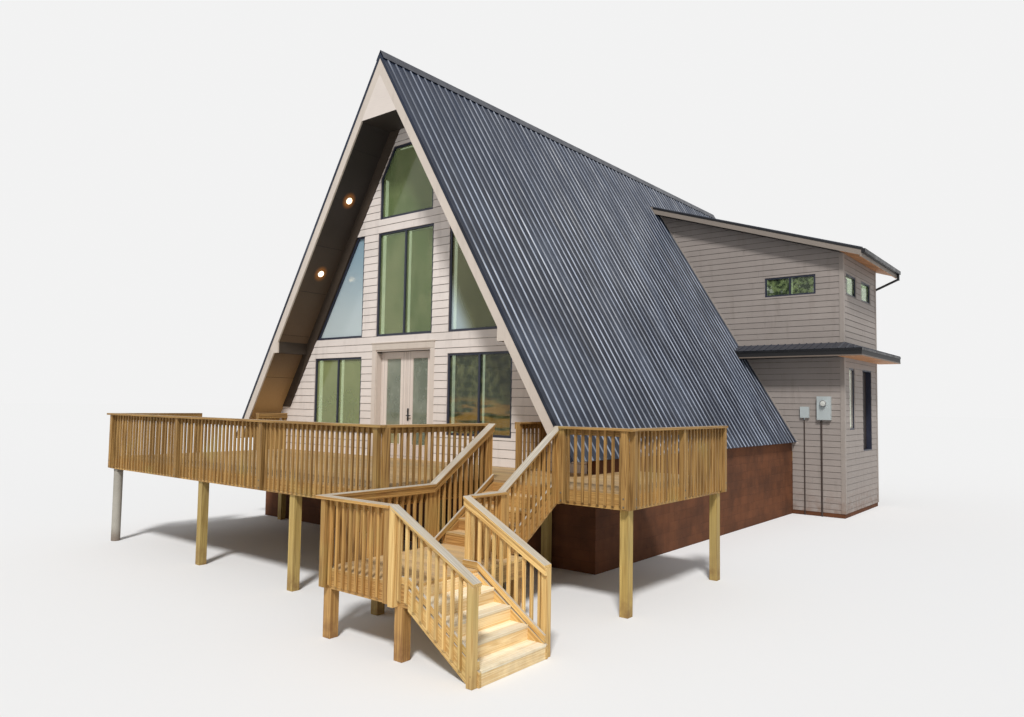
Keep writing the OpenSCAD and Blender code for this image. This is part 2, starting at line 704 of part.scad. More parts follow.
// Pipe between two points
module pipe(a, b, d) {
    v = b - a;
    translate(a) rotate([0, acos(v[2] / norm(v)), atan2(v[1], v[0])]) cylinder(h = norm(v), d = d, $fn = 32);
}
rim_top = wing_z - gutter_drop;
spout_a = [wing_end + gutter_w / 2, wing_back + wing_over - spout_in, rim_top - gutter_h + gutter_t / 2];
spout_b = spout_a - [0, 0, outlet_h];
spout_c = [wing_x - wall_t / 2, wing_back + spout_d / 2 + spout_gap, spout_b[2] - spout_fall];
module wing_gutter() color("#2b2b2d") place() {
    difference() {
        box([wing_end, wing_y - wing_over, rim_top - gutter_h],
            [wing_end + gutter_w, wing_back + wing_over, rim_top]);
        box([wing_end + gutter_t, wing_y - wing_over + gutter_t, rim_top - gutter_h + gutter_t],
            [wing_end + gutter_w - gutter_t, wing_back + wing_over - gutter_t, wing_z]);
    }
    // downspout: an outlet, a slanted run back to the rear wall and a drop
    pipe(spout_a, spout_b, spout_d);
    pipe(spout_b + [0, 0, spout_d / 2], spout_c, spout_d - 2);
    pipe(spout_c + [0, 0, spout_d / 2], [spout_c[0], spout_c[1], -floor_h], spout_d);
}
// Pent roof: one section along the front and the side, falling outwards
pent_z1 = pent_z - pent_fall;
pent_z0 = pent_z1 - pent_fascia;
pent_x = wing_x + pent_out;
pent_y = wing_y - pent_out;
module pent_front(x1) difference() {
    yz(0, x1, [[wing_y, pent_z0], [wing_y, pent_z], [pent_y, pent_z1], [pent_y, pent_z0]]);
    // stops at the main slope
    xz(pent_y - past, wing_y + past, [[-past, 0], [ho(0), 0], [ho(ridge_h), ridge_h], [-past, ridge_h]]);
}
module pent_side(y0, y1) xz(y0, y1,
    [[wing_x, pent_z0], [pent_x, pent_z0], [pent_x, pent_z1], [wing_x, pent_z]]);
module pent_roof() color("#3a3633") place() {
    pent_front(wing_x);
    pent_side(wing_y, wing_back + wing_over);
    intersection() {
        pent_front(pent_x);
        pent_side(pent_y, wing_y);
    }
}
frame_x = wing_x - frame_y - frame_d;
module wing_frames() color("#23262d") place() {
    frame_of(w_front, wing_y + frame_y, frame_d, frame_w);
    bar((wf_x0 + wf_x1) / 2, win_head - wf_h, win_head, wing_y + frame_y, frame_d, frame_w);
    for (w = concat(w_sides, [w_narrow])) difference() {
        yz(frame_x, frame_x + frame_d, w);
        yz(frame_x - past, frame_x + frame_d + past, inset(w, frame_w));
    }
}
module wing_door_frame() color("#23262d") place() {
    difference() {
        box([side_in, wd0, 0], [wing_x, wd1, wd_h]);
        box([side_in - past, wd0 + jamb_t, sill_h], [wing_x + past, wd1 - jamb_t, wd_h - jamb_t]);
    }
    side_hinges(false);
}
module wing_glass() color("#6f8f86") place() {
    w = (wf_w - 3 * frame_w) / 2;
    for (x = [wf_x0 + frame_w, wf_x1 - frame_w - w])
        pane(rect(x, win_head - wf_h + frame_w, x + w, win_head - frame_w), wing_y + glass_y);
    for (w = concat(w_sides, [w_narrow])) yz(wing_x - glass_y - glass_t, wing_x - glass_y, inset(w, frame_w));
}
module wing_door() color("#2b2320") place() {
    side_hinges(true);
    box([side_in, wd0 + jamb_t + gap, leaf_z0], [side_in + leaf_t, wd1 - jamb_t - gap, wd_h - jamb_t - gap]);
    translate([side_in + leaf_t, wd0 + jamb_t + gap + knob_in, lever_z]) {
        rotate([0, 90, 0]) cylinder(h = knob_d, d = neck_d, $fn = 32);
        translate([knob_d, 0, 0]) sphere(d = knob_d, $fn = 40);
    }
}
meter_x = wing_x - meter_in;
switch_x = wing_x - switch_in;
module conduit(x, top, d) translate([x, wing_y - duct_gap - d / 2, -floor_h])
    cylinder(h = floor_h + top + bite, d = d, $fn = 32);
module meter_box() color("#8f968f") place() {
    box([meter_x, wing_y - meter_t, meter_z], [meter_x + meter_w, wing_y, meter_z + meter_h]);
    translate([meter_x + meter_w / 2, wing_y - meter_t, meter_z + meter_h - meter_down])
        rotate([90, 0, 0]) cylinder(h = meter_out, d = meter_d, $fn = 64);
    box([switch_x, wing_y - switch_t, switch_z], [switch_x + switch_w, wing_y, switch_z + switch_h]);
    conduit(switch_x + duct_in, switch_z, duct_small);
    conduit(meter_x + duct_in, meter_z, duct_d);
}

// Deck
module deck_boards() color("#b5905c") place() {
    box([-deck_l, -deck_f, -plank_t], [stair_x, 0, 0]);
    box([stair_x - past, -head_y, -plank_t], [deck_r, 0, 0]);
    box([skirt_out, -past, -plank_t], [deck_r, deck_b, 0]);
}
// Joists across a bay: rims all round and joists along Y
module bay(x0, y0, x1, y1) difference() {
    box([x0, y0, rim_z], [x1, y1, -plank_t]);
    n = max(1, round((x1 - x0) / joist_p));
    p = (x1 - x0 - board_t) / n;
    for (i = [0:n - 1])
        box([x0 + board_t + i * p, y0 + board_t, rim_z - past], [x0 + (i + 1) * p, y1 - board_t, 0]);
}
module deck_frame() color("#c8a468") place() {
    bay(-deck_l, -deck_f, stair_x, 0);
    bay(stair_x, -head_y, skirt_out, 0);
    bay(skirt_out, -head_y, deck_r, deck_b);
}
module deck_post(x, y)
    box([x - post_w / 2, y - post_w / 2, -floor_h], [x + post_w / 2, y + post_w / 2, rim_z]);
module deck_posts() color("#c2a06a") place() {
    for (x = [-post_left, post_right, stair_x - post_in]) deck_post(x, -deck_f + post_in);
    for (x = [-deck_l + post_in, -post_wall, post_wall, stair_x - post_in]) deck_post(x, -post_w);
    deck_post(deck_r - post_in, -head_y + post_in);
    deck_post(deck_r - post_in, deck_b - post_in);
    deck_post(fl_x + post_in, -head_y + post_in);
}
module deck_pier() color("#a9a59c") place() translate([-deck_l + post_in, -deck_f + post_in, -floor_h]) {
    cylinder(h = floor_h + rim_z - pier_cap, d = pier_d, $fn = 64);
    translate([-post_w / 2, -post_w / 2, floor_h + rim_z - pier_cap]) cube([post_w, post_w, pier_cap]);
}

// Rails
// A straight panel along +X from 0 to len, outside the framing (y < 0). Posts and
// balusters reach from the framing's lower edge, or from low, up to the cap.
// c0 and c1 lengthen the cap at its ends, over is its reach past the posts.
under = rail_h - board_t;
// The board under the cap is let into the balusters
sub_y = bite - bal - board_t;
module panel(len, posts, c0 = 0, c1 = 0, low = rim_z, over = cap_out) {
    box([-c0, -rpost - over, under], [len + c1, cap_w - rpost - over, rail_h]);
    box([0, sub_y, under - sub_h], [len, sub_y + board_t, under]);
    for (p = posts) box([p, -rpost, low], [p + rpost, 0, under]);
    n = floor(len / bal_p);
    z = low + bal / 2;
    for (i = [1:n - 1]) let (x = i * len / n)
        if (min([for (p = posts) abs(x - p - rpost / 2)]) > (rpost + bal) / 2 + bal_clear)
            yz(x - bal / 2, x + bal / 2, [[0, z], [0, under], [-bal, under], [-bal, z + bal]]);
}
module rail_front_left() color("#b8935c") place() translate([-deck_l, -deck_f, 0])
    panel(deck_l + stair_x, [0, mid_post1 - rpost / 2, mid_post2 - rpost / 2, deck_l + stair_x - rpost],
        cap_out + rpost, rpost);
right_len = deck_r - stair_r - rpost;
module rail_front_right() color("#b8935c") place() translate([stair_r + rpost, -head_y, 0])
    panel(right_len, [0, right_len - rpost], 0, cap_out + rpost);
module rail_side_right() color("#b8935c") place() translate([deck_r, -head_y, 0]) rotate([0, 0, 90])
    panel(head_y + deck_b, [0, side_post - rpost / 2, head_y + deck_b - rpost], -cap_out - seat, 0);
left_run = deck_f - over_front - way_w;
module rail_left_sides() color("#b8935c") place() {
    translate([-deck_l, -over_front - way_w, 0]) rotate([0, 0, -90])
        panel(left_run, [0, left_run - rpost], 0, -cap_out - seat);
    translate([stair_x, -deck_f, 0]) rotate([0, 0, 90])
        panel(deck_f - head_y, [0, deck_f - head_y - rpost], -cap_out - seat, 0, rim_z, 0);
}
module rail_eaves() color("#b8935c") place() {
    translate([-deck_l, 0, 0]) rotate([0, 0, -90]) panel(over_front, [0, over_front - rpost]);
    translate([eave_x, -over_front, 0]) rotate([0, 0, 90])
        panel(over_front, [0, over_front - rpost], 0, 0, 0);
}

// Stairs
// A flight along +X, going down from z = 0: treads, closed risers and two sides
module flight(n, rise, w) {
    for (i = [1:n - 1])
        box([(i - 1) * going, board_t, -i * rise - board_t], [i * going + nosing, w - board_t, -i * rise]);
    for (i = [1:n]) box([(i - 1) * going, board_t, -i * rise],
        [(i - 1) * going + riser_t, w - board_t, -(i - 1) * rise - (i == 1 ? plank_t : board_t)]);
    end = (n - 1) * going + nosing;
    for (y = [0, w - board_t]) xz(y, y + board_t, [[0, -plank_t], [0, -string_h],
        [n * going - string_h * going / rise, -n * rise], [end, -n * rise],
        [end, -(n - 1) * rise - nosing * rise / going]]);
}
module upper_flight() color("#b5905c") place()
    translate([fl_x, -head_y, 0]) rotate([0, 0, -90]) flight(risers_up, riser_up, stair_w);
module lower_flight() color("#b5905c") place()
    translate([land_r, -land_y, land_z]) flight(risers_low, riser_low, low_w);
module landing() color("#b5905c") place() {
    box([fl_x, -land_y, land_z - plank_t], [land_r, -land_b, land_z]);
    difference() {
        box([fl_x, -land_y, land_z + rim_z], [land_r, -land_b, land_z - plank_t + past]);
        box([fl_x + board_t, -land_y + board_t, land_z + rim_z - past],
            [land_r - board_t, -land_b - board_t, land_z]);
    }
    for (x = [fl_x + board_t, land_r - board_t - rpost])
        for (y = [-land_y + board_t, -land_b - board_t - rpost])
            box([x, y, -floor_h], [x + rpost, y + rpost, land_z - plank_t + past]);
}
// A sloped panel along +X. Its cap falls by drop over len, and its bottom rail
// is level up to level and then follows the noses of the steps.
module slope_panel(len, drop, level, foot0, foot1) {
    k = drop / len;
    function low(x) = rail_gap + (x < level ? 0 : -(x - level) * drop / (len - level));
    function top(x) = under - x * k;
    xz(-rpost, cap_w - rpost,
        [[0, top(0)], [len, top(len)], [len, top(len) + board_t], [0, top(0) + board_t]]);
    xz(sub_y, sub_y + board_t, [[0, top(0) - sub_h], [len, top(len) - sub_h], [len, top(len) + bite],
        [0, top(0) + bite]]);
    xz(sub_y, sub_y + board_t, concat([[0, low(0)], [level, low(level)], [len, low(len)],
        [len, low(len) + sub_h], [level, low(level) + sub_h]], level > 0 ? [[0, low(0) + sub_h]] : []));
    for (p = [[0, foot0], [len - rpost, foot1]]) let (x = p[0], x1 = p[0] + rpost)
        xz(-rpost, 0, [[x, p[1]], [x1, p[1]], [x1, top(x1) + bite], [x, top(x) + bite]]);
    n = floor(len / bal_p);
    for (i = [1:n - 1]) let (x = i * len / n - bal / 2, x1 = x + bal)
        if (x > rpost + bal_clear && x1 < len - rpost - bal_clear)
            xz(-bal, 0, [[x, low(x) + bal / 2], [x1, low(x1) + bal / 2], [x1, top(x1) + bite],
                [x, top(x) + bite]]);
}
module rail_upper_flight() color("#b8935c") place() {
    translate([stair_r, -head_y, 0]) rotate([0, 0, -90]) mirror([0, 1, 0])
        slope_panel(rail_b - head_y, -land_z, 0, rim_z, land_z);
    translate([fl_x, -head_y, 0]) rotate([0, 0, -90])
        slope_panel(rail_b - head_y, -land_z, 0, rim_z, land_z + rim_z);
}
module rail_landing_front() color("#b8935c") place() translate([fl_x, -land_y, land_z])
    panel(stair_w, [0, stair_w - rpost], rpost, 0);
short = land_y - low_w - rpost - rail_b;
module rail_landing_sides() color("#b8935c") place() {
    translate([fl_x, -rail_b, land_z]) rotate([0, 0, -90])
        panel(land_y - rail_b, [0, land_y - rail_b - rpost], 0, -cap_out - seat, rim_z, 0);
    // short rail between the two flights, standing on the landing
    translate([stair_r, -rail_b - short, land_z]) rotate([0, 0, 90])
        panel(short, [short - rpost], 0, 0, 0);
}
low_run = land_r - stair_r + going * (risers_low - 1);
low_drop = riser_low * (risers_low - 1);
module rail_lower_flight() color("#b8935c") place() {
    translate([stair_r, -land_y, land_z])
        slope_panel(low_run, low_drop, land_r - stair_r, rim_z, -floor_h - land_z);
    translate([stair_r, -land_y + low_w, land_z]) mirror([0, 1, 0])
        slope_panel(low_run, low_drop, land_r - stair_r, 0, -floor_h - land_z);
}

foundation();
house_floors();
front_wall_left();
front_wall_right();
front_wall_upper();
rear_wall();
roof_left();
roof_right();
roof_metal_left();
roof_metal_right();
ridge_cap();
rake_fascias();
peak_panel();
soffit_beams();
soffit_lights();
front_frames();
front_glass();
front_door_frame();
door_left();
door_left_glass();
door_right();
door_right_glass();
wing_floors();
wing_wall_front();
wing_wall_side();
wing_wall_door();
wing_wall_rear();
wing_roof();
wing_roof_metal();
wing_gutter();
pent_roof();
wing_frames();
wing_glass();
wing_door_frame();
wing_door();
meter_box();
deck_boards();
deck_frame();
deck_posts();
deck_pier();
rail_front_left();
rail_left_sides();
rail_front_right();
rail_side_right();
rail_eaves();
upper_flight();
landing();
lower_flight();
rail_upper_flight();
rail_landing_front();
rail_landing_sides();
rail_lower_flight();
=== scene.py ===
import math
import random
import bmesh
import bpy
from mathutils import Matrix, Vector


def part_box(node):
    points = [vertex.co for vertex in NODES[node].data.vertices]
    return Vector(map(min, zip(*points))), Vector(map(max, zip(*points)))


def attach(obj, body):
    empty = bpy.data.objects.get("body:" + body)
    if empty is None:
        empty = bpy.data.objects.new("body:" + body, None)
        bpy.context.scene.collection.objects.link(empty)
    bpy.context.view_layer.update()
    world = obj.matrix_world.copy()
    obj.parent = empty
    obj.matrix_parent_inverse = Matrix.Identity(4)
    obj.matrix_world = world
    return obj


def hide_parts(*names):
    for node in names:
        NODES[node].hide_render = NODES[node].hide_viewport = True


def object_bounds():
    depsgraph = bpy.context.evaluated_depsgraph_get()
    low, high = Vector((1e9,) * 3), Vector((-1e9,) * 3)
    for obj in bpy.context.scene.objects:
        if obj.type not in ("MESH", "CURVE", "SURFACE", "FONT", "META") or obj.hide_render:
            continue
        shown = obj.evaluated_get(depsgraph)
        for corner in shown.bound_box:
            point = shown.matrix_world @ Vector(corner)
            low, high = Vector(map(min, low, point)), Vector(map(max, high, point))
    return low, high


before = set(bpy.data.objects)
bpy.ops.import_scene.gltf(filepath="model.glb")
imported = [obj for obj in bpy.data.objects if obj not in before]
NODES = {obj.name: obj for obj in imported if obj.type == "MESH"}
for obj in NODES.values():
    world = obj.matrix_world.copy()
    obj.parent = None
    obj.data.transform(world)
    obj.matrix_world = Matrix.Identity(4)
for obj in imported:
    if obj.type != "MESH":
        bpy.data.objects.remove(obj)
scene = bpy.context.scene
cad_box = [[float(c) for c in p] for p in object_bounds()]
# rng places the joints of boards, wood_rng picks each board's own part of the grain
rng, wood_rng = random.Random(11), random.Random(5)
BOARD_STEP = 10.0

# House frame: middle of the front gable at floor level, X right, Y into the house
_lo, _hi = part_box("front_wall_upper")
ORIGIN = Vector(((_lo[0] + _hi[0]) / 2, _lo[1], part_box("deck_boards")[1][2]))

# Sizes that part.scad gives, in metres
RIDGE, HALF = 9.05, 5.475
K = HALF / RIDGE
LEAN = math.atan(K)
COS, SIN = math.cos(LEAN), math.sin(LEAN)
ROOF_HX, FRIEZE_HX, SHEET_HX = 0.25 / COS, 0.27 / COS, 0.028 / COS
SKIRT_OUT, WALL_HX, FOOT_Z, LEN = 5.197, 5.005, 0.29, 16.4
WING_Y, WING_B, WING_X, WING_END, WING_Z = 10.68, 14.40, 6.66, 7.24, 5.74
WING_FALL, WING_SLAB, OVERHANG = math.radians(18.2), 0.2, 0.35
WT = math.tan(WING_FALL)
PENT_Z, PENT_Z1, PENT_Z0, PENT_X, PENT_Y = 3.15, 2.94, 2.725, 7.30, 10.04
PITCH, METAL_Y0, METAL_LEN, RIB_W = 0.229, -0.898, 17.906, 0.056
LAMP_Y, LAMP_ZS = -0.43, (6.04, 4.38)
BASE = -1.8
CLAD_Z = BASE + 0.12
BLOCK_H, BLOCK_L = 0.203, 0.406

# Lap siding: rows, thickness at the lower edge and what it loses upwards, board length, half a joint
LAP, BUTT, TAPER, BOARD_LEN, JOINT = 0.175, 0.017, 0.011, 3.66, 0.0015


def hin(z):
    """Half width under the roof slopes."""
    return K * (RIDGE - z) - ROOF_HX


def hf(z):
    """Half width between the boards under the slopes."""
    return hin(z) - FRIEZE_HX


def hout(z):
    """Half width over the roof sheets."""
    return K * (RIDGE - z) + SHEET_HX + 0.004


def wtop(x):
    """Top of the wing's roof."""
    return WING_Z + (WING_END - x) * WT


def wbot(x):
    """Underside of the wing's roof."""
    return wtop(x) - WING_SLAB / math.cos(WING_FALL) - 0.001


def show(name, data):
    """New object in the scene."""
    ob = bpy.data.objects.new(name, data)
    scene.collection.objects.link(ob)
    return ob


# Mesh code
class Shape:
    """Vertices and faces in the house frame, joined into one piece."""

    def __init__(self, wood=False):
        self.bm = bmesh.new()
        self.index = 0
        self.grain = self.bm.verts.layers.float_vector.new("grain") if wood else None

    def face(self, verts):
        self.bm.faces.new(verts).material_index = self.index

    def ring(self, a, b, way=None):
        """Solid between two outlines with the same number of points; way is the grain's direction."""
        va = [self.bm.verts.new(Vector(p) + ORIGIN) for p in a]
        vb = [self.bm.verts.new(Vector(p) + ORIGIN) for p in b]
        n = len(a)
        if self.grain:
            mid = sum((v.co for v in va + vb), Vector()) / (2 * n)
            w = (Vector(way) if way else vb[0].co - va[0].co).normalized()
            side = w.orthogonal().normalized()
            k = wood_rng.randrange(1, 40)
            for v in va + vb:
                q = v.co - mid
                v[self.grain] = (q.dot(w) + 3.7 * k, q.dot(side) + BOARD_STEP * k, q.dot(w.cross(side)))
        self.face(va)
        self.face(vb[::-1])
        for i in range(n):
            self.face((va[i], vb[i], vb[(i + 1) % n], va[(i + 1) % n]))

    def board(self, a, b):
        """Straight board between two corners, with its grain along its length."""
        (x0, y0, z0), (x1, y1, z1) = a, b
        size = [x1 - x0, y1 - y0, z1 - z0]
        self.ring(*([(x0, y0, z), (x1, y0, z), (x1, y1, z), (x0, y1, z)] for z in (z0, z1)),
                  [float(q == max(size)) for q in size])

    def turned(self, centre, axis, rows, n=16, hoop=False):
        """Round form about an axis, from (distance along the axis, radius) pairs; a hoop is open inside."""
        axis = Vector(axis).normalized()
        side = axis.orthogonal().normalized()
        up = axis.cross(side)
        c = Vector(centre) + ORIGIN
        loops = []
        for d, r in rows:
            loops.append([self.bm.verts.new(c + axis * d + (side * math.cos(t) + up * math.sin(t)) * r)
                          for t in (2 * math.pi * i / n for i in range(n))])
        for p, q in zip(loops, loops[1:] + (loops[:1] if hoop else [])):
            for i in range(n):
                self.face((p[i], p[(i + 1) % n], q[(i + 1) % n], q[i]))
        if not hoop:
            self.face(loops[0][::-1])
            self.face(loops[-1])

    def piece(self, name, mats, body="cabin", bevel=0.0, smooth=False, node=None):
        bmesh.ops.recalc_face_normals(self.bm, faces=self.bm.faces)
        me = bpy.data.meshes.new(name)
        self.bm.to_mesh(me)
        self.bm.free()
        for mat in mats if isinstance(mats, list) else [mats]:
            me.materials.append(mat)
        ob = show(name, me)
        if smooth:
            for p in me.polygons:
                p.use_smooth = True
        if bevel:
            m = ob.modifiers.new("edges", "BEVEL")
            m.width = bevel
            m.segments = 1
            m.limit_method = "ANGLE"
        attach(ob, body)
        if node:
            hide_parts(node)


def lin(r, g, b):
    """Linear colour from the 0 to 255 values of a screen."""
    parts = [c / 255 for c in (r, g, b)]
    return (*(c / 12.92 if c <= 0.04045 else ((c + 0.055) / 1.055) ** 2.4 for c in parts), 1.0)


class Mat:
    """Node material; every call adds a node and gives back its output socket."""

    def __init__(self, name, rough=0.6, metal=0.0, spec=0.4, **more):
        self.m = bpy.data.materials.new(name)
        self.m.use_nodes = True
        self.t = self.m.node_tree
        self.b = self.t.nodes["Principled BSDF"]
        self.put(self.b.inputs["Roughness"], rough)
        self.put(self.b.inputs["Metallic"], metal)
        self.b.inputs["Specular IOR Level"].default_value = spec
        for k, v in more.items():
            self.b.inputs[k.replace("_", " ")].default_value = v
        self.co = self.add("TexCoord")["Object"]
        self.x, self.y, self.z = map(self.minus, self.add("SeparateXYZ", (self.co,)), ORIGIN)
        self.nx, self.ny, self.nz = self.add("SeparateXYZ", (self.add("NewGeometry")["Normal"],))

    def put(self, sock, v):
        if isinstance(v, bpy.types.NodeSocket):
            self.t.links.new(v, sock)
        else:
            sock.default_value = v

    def add(self, kind, inputs=(), **props):
        """Node with inputs that are set or linked, by number or by name."""
        n = self.t.nodes.new("ShaderNode" + kind)
        for k, v in props.items():
            setattr(n, k, v)
        for k, v in inputs.items() if isinstance(inputs, dict) else enumerate(inputs):
            self.put(n.inputs[k], v)
        return n.outputs

    def calc(self, op, a, b=0.0):
        return self.add("Math", (a, b), operation=op)[0]

    def span(self, v, lo, hi, a=0.0, b=1.0):
        """v from lo..hi to a..b, softly and clamped."""
        return self.add("MapRange", (v, lo, hi, a, b), interpolation_type="SMOOTHSTEP")[0]

    def times(self, *vs):
        """Product of all values."""
        out = vs[0]
        for v in vs[1:]:
            out = self.calc("MULTIPLY", out, v)
        return out

    def plus(self, a, b):
        return self.calc("ADD", a, b)

    def minus(self, a, b):
        return self.calc("SUBTRACT", a, b)

    def below(self, v, limit):
        """1 where v is under the limit, else 0."""
        return self.calc("LESS_THAN", v, limit)

    def above(self, v, limit):
        return self.calc("GREATER_THAN", v, limit)

    def scaled(self, *scale):
        return self.add("Mapping", {"Vector": self.co, "Scale": scale})[0]

    def noise(self, scale, detail=4.0, rough=0.55, distort=0.0, vec=None):
        """Soft noise; a scale of three numbers stretches it."""
        if isinstance(scale, tuple):
            vec, scale = self.scaled(*scale), 1.0
        inputs = {"Vector": self.co if vec is None else vec, "Scale": scale, "Detail": detail,
                  "Roughness": rough, "Distortion": distort}
        return self.add("TexNoise", inputs)["Fac"]

    def cell(self, *vs):
        """Random value that is the same all over a cell."""
        place = self.add("CombineXYZ", vs)[0]
        return self.add("TexWhiteNoise", {"Vector": place}, noise_dimensions="3D")["Value"]

    def steps(self, v, pitch, start):
        return self.calc("DIVIDE", self.minus(v, start), pitch)

    def index(self, v, pitch, start=0.0):
        """Number of the repeat that v lies in."""
        return self.calc("FLOOR", self.steps(v, pitch, start))

    def within(self, v, pitch, start=0.0):
        """Place inside a repeat, 0 to pitch."""
        return self.times(self.calc("FRACT", self.steps(v, pitch, start)), pitch)

    def mix(self, f, a, b, how="MIX"):
        return self.add("Mix", {0: f, 6: a, 7: b}, data_type="RGBA", blend_type=how)[2]

    def shade(self, col, v, amount=1.0):
        """Colour made lighter or darker by v, where 0.5 leaves it."""
        g = self.add("Math", (v, 2 * amount, 1 - amount), operation="MULTIPLY_ADD")[0]
        return self.mix(1.0, col, self.add("CombineColor", (g, g, g))[0], "MULTIPLY")

    def done(self, colour, rough=None, height=None, dist=0.0, strength=0.0):
        """Set colour, roughness and bump, and give back the material."""
        self.put(self.b.inputs["Base Color"], colour)
        if rough is not None:
            self.put(self.b.inputs["Roughness"], rough)
        if height is not None:
            bump = self.add("Bump", {"Distance": dist, "Strength": strength, "Height": height})
            self.put(self.b.inputs["Normal"], bump[0])
        return self.m


def line_at(m, v, at, half):
    """1 within half of a place."""
    return m.below(m.calc("ABSOLUTE", m.minus(v, at)), half)


def painted_boards(name, base, row=3.0, dirt=0.0, lap=False):
    """Fibre cement or wood boards under paint, with an embossed grain and painted shade under the laps."""
    m = Mat(name, rough=0.62)
    grain = m.noise((3, 3, 75), 5, 0.65, 0.4)
    blotch = m.noise(1.7, 3)
    tone = m.cell(m.index(m.z, row))
    c = m.shade(m.shade(base, grain, 0.07), blotch, 0.09)
    c = m.shade(c, tone, 0.04)
    if lap:
        # painted shade: a dark band under each lap, broken up by noise
        at = m.within(m.z, row)
        under = m.span(at, row - 0.019, row - 0.007)
        drip = m.span(m.noise((7, 7, 2), 3), 0.3, 0.7, 0.65, 1.0)
        c = m.mix(m.times(under, drip, 0.8), c, lin(58, 48, 42))
    low = m.times(m.span(m.z, BASE + 0.9, BASE), m.span(m.noise(5, 5), 0.35, 0.7))
    c = m.mix(m.times(low, 0.55), c, lin(112, 78, 55))
    if dirt:
        run = m.noise((5, 5, 0.9), 4)
        c = m.mix(m.times(m.span(run, 0.5, 0.75), dirt), c, lin(92, 80, 68))
    return m.done(c, m.span(grain, 0.3, 0.7, 0.5, 0.72), grain, 0.0012, 0.7)


def timber(name, base, late, way="board", grey=0.0, cell=None, knots=0.5, top_grey=0.0, soil=0.6):
    """Sawn softwood; way is the grain's axis, "frame" for X or Y by the face, or "board" for the piece's own.

    cell gives the boards' sizes where a piece has no boards of its own.
    """
    m = Mat(name, rough=0.68, spec=0.3)
    long, cross = 0.9, 48.0
    scales = {"x": (long, cross, cross), "y": (cross, long, cross), "z": (cross, cross, long)}
    if way == "board":
        own = m.add("Attribute", attribute_name="grain")["Vector"]
        pick = m.cell(m.index(m.add("SeparateXYZ", (own,))[1], BOARD_STEP, -BOARD_STEP / 2))
    else:
        pick = m.cell(m.index(m.x, cell[0]), m.index(m.y, cell[1]), m.index(m.z, cell[2], 0.013))

    def grain(w):
        if way == "board":
            vec = m.add("VectorMath", (own, scales["x"]), operation="MULTIPLY")[0]
        else:
            off = m.add("CombineXYZ", [m.times(pick, 7.0 + 5 * i) for i in range(3)])[0]
            vec = m.add("VectorMath", (m.scaled(*scales[w]), off), operation="ADD")[0]
        rings = m.noise(0.45, 2, 0.45, 0.5, vec)
        bands = m.calc("FRACT", m.times(rings, 6.0))
        bands = m.calc("ABSOLUTE", m.minus(m.times(bands, 2), 1))
        fibre = m.noise(3.2, 3, 0.7, vec=vec)
        return m.plus(m.times(bands, 0.6), m.times(fibre, 0.4))

    if way == "frame":
        across = m.above(m.calc("ABSOLUTE", m.nx), 0.5)
        g = m.mix(across, grain("x"), grain("y"))
    else:
        g = grain(way)
    c = m.mix(m.span(g, 0.25, 0.85), base, late)
    c = m.shade(c, pick, 0.2)
    c = m.shade(c, m.noise(0.7, 2), 0.10)
    green = m.span(m.noise(1.1, 2), 0.55, 0.75, 0, 0.3)
    c = m.mix(green, c, lin(172, 160, 96))
    far = m.add("TexVoronoi", {"Vector": m.scaled(2.2, 2.2, 2.2), "Scale": 1.7}, feature="F1")["Distance"]
    k = m.span(far, 0.055, 0.03, 0, 0.75 * knots)
    c = m.mix(k, c, lin(96, 62, 34))
    if top_grey:
        worn = m.times(m.above(m.nz, 0.55), m.span(m.noise(3.1, 4), 0.25, 0.75, 0.75, 1.0), top_grey)
        c = m.mix(worn, c, m.shade(lin(184, 178, 166), g, 0.35))
    if grey:
        c = m.mix(m.span(m.noise(0.9, 3), 0.3, 0.8, 0, grey), c, lin(150, 140, 122))
    foot = m.times(m.span(m.z, BASE + 0.5, BASE + 0.02, 0, soil), m.span(m.noise(6, 4), 0.3, 0.7))
    c = m.mix(foot, c, lin(110, 72, 46))
    return m.done(c, m.span(g, 0.2, 0.8, 0.74, 0.56), g, 0.0015, 0.6)


def sheet_metal(name, base, streak, ribs=False, rough=0.34):
    """Painted sheet steel with paler patches in its flats and painted highlights on its rib tops."""
    m = Mat(name, rough=rough, spec=0.3)
    run = m.noise((0.55, 26, 0.55), 4, 0.6)
    fine = m.noise(55, 2)
    blot = m.noise(0.8, 4, 0.6)
    c = m.mix(m.span(run, 0.35, 0.75, 0, 0.55), base, streak)
    c = m.shade(c, blot, 0.22)
    if ribs:
        # the upper part is bluer, with fewer paler patches and rib highlights
        upper_slope = m.span(m.z, 4.6, 8.2)
        c = m.mix(m.times(upper_slope, 0.4), c, lin(20, 38, 64))
        at = m.within(m.y, PITCH, METAL_Y0 + (METAL_LEN - 77 * PITCH - RIB_W) / 2)
        top = m.times(m.span(at, 0.004, 0.011), m.span(at, RIB_W - 0.004, RIB_W - 0.011))
        # painted highlight: broken bright lines along the rib tops
        worn = m.span(m.noise((0.55, 2.2, 0.55), 5, 0.65), 0.38, 0.64, 0.3, 0.85)
        worn = m.times(top, worn, m.minus(1.0, m.times(upper_slope, 0.45)))
        c = m.mix(worn, c, lin(170, 180, 198))
        # paler blue-grey patches, more of them low on the roof
        dust = m.span(m.noise((0.5, 0.9, 0.5), 5, 0.6), 0.45, 0.75, 0, 0.32)
        c = m.mix(m.times(dust, m.minus(1.0, upper_slope)), c, lin(96, 106, 124))
        seam = line_at(m, m.within(m.y, PITCH * 4, METAL_Y0 + 0.1465), 0.04, 0.0012)
        c = m.mix(m.times(seam, 0.8), c, lin(12, 14, 18))
    fine = m.times(fine, 0.05)
    return m.done(c, m.plus(m.span(run, 0.3, 0.7, rough - 0.08, rough + 0.12), fine),
                  m.plus(m.times(blot, 0.6), fine), 0.002, 0.25)


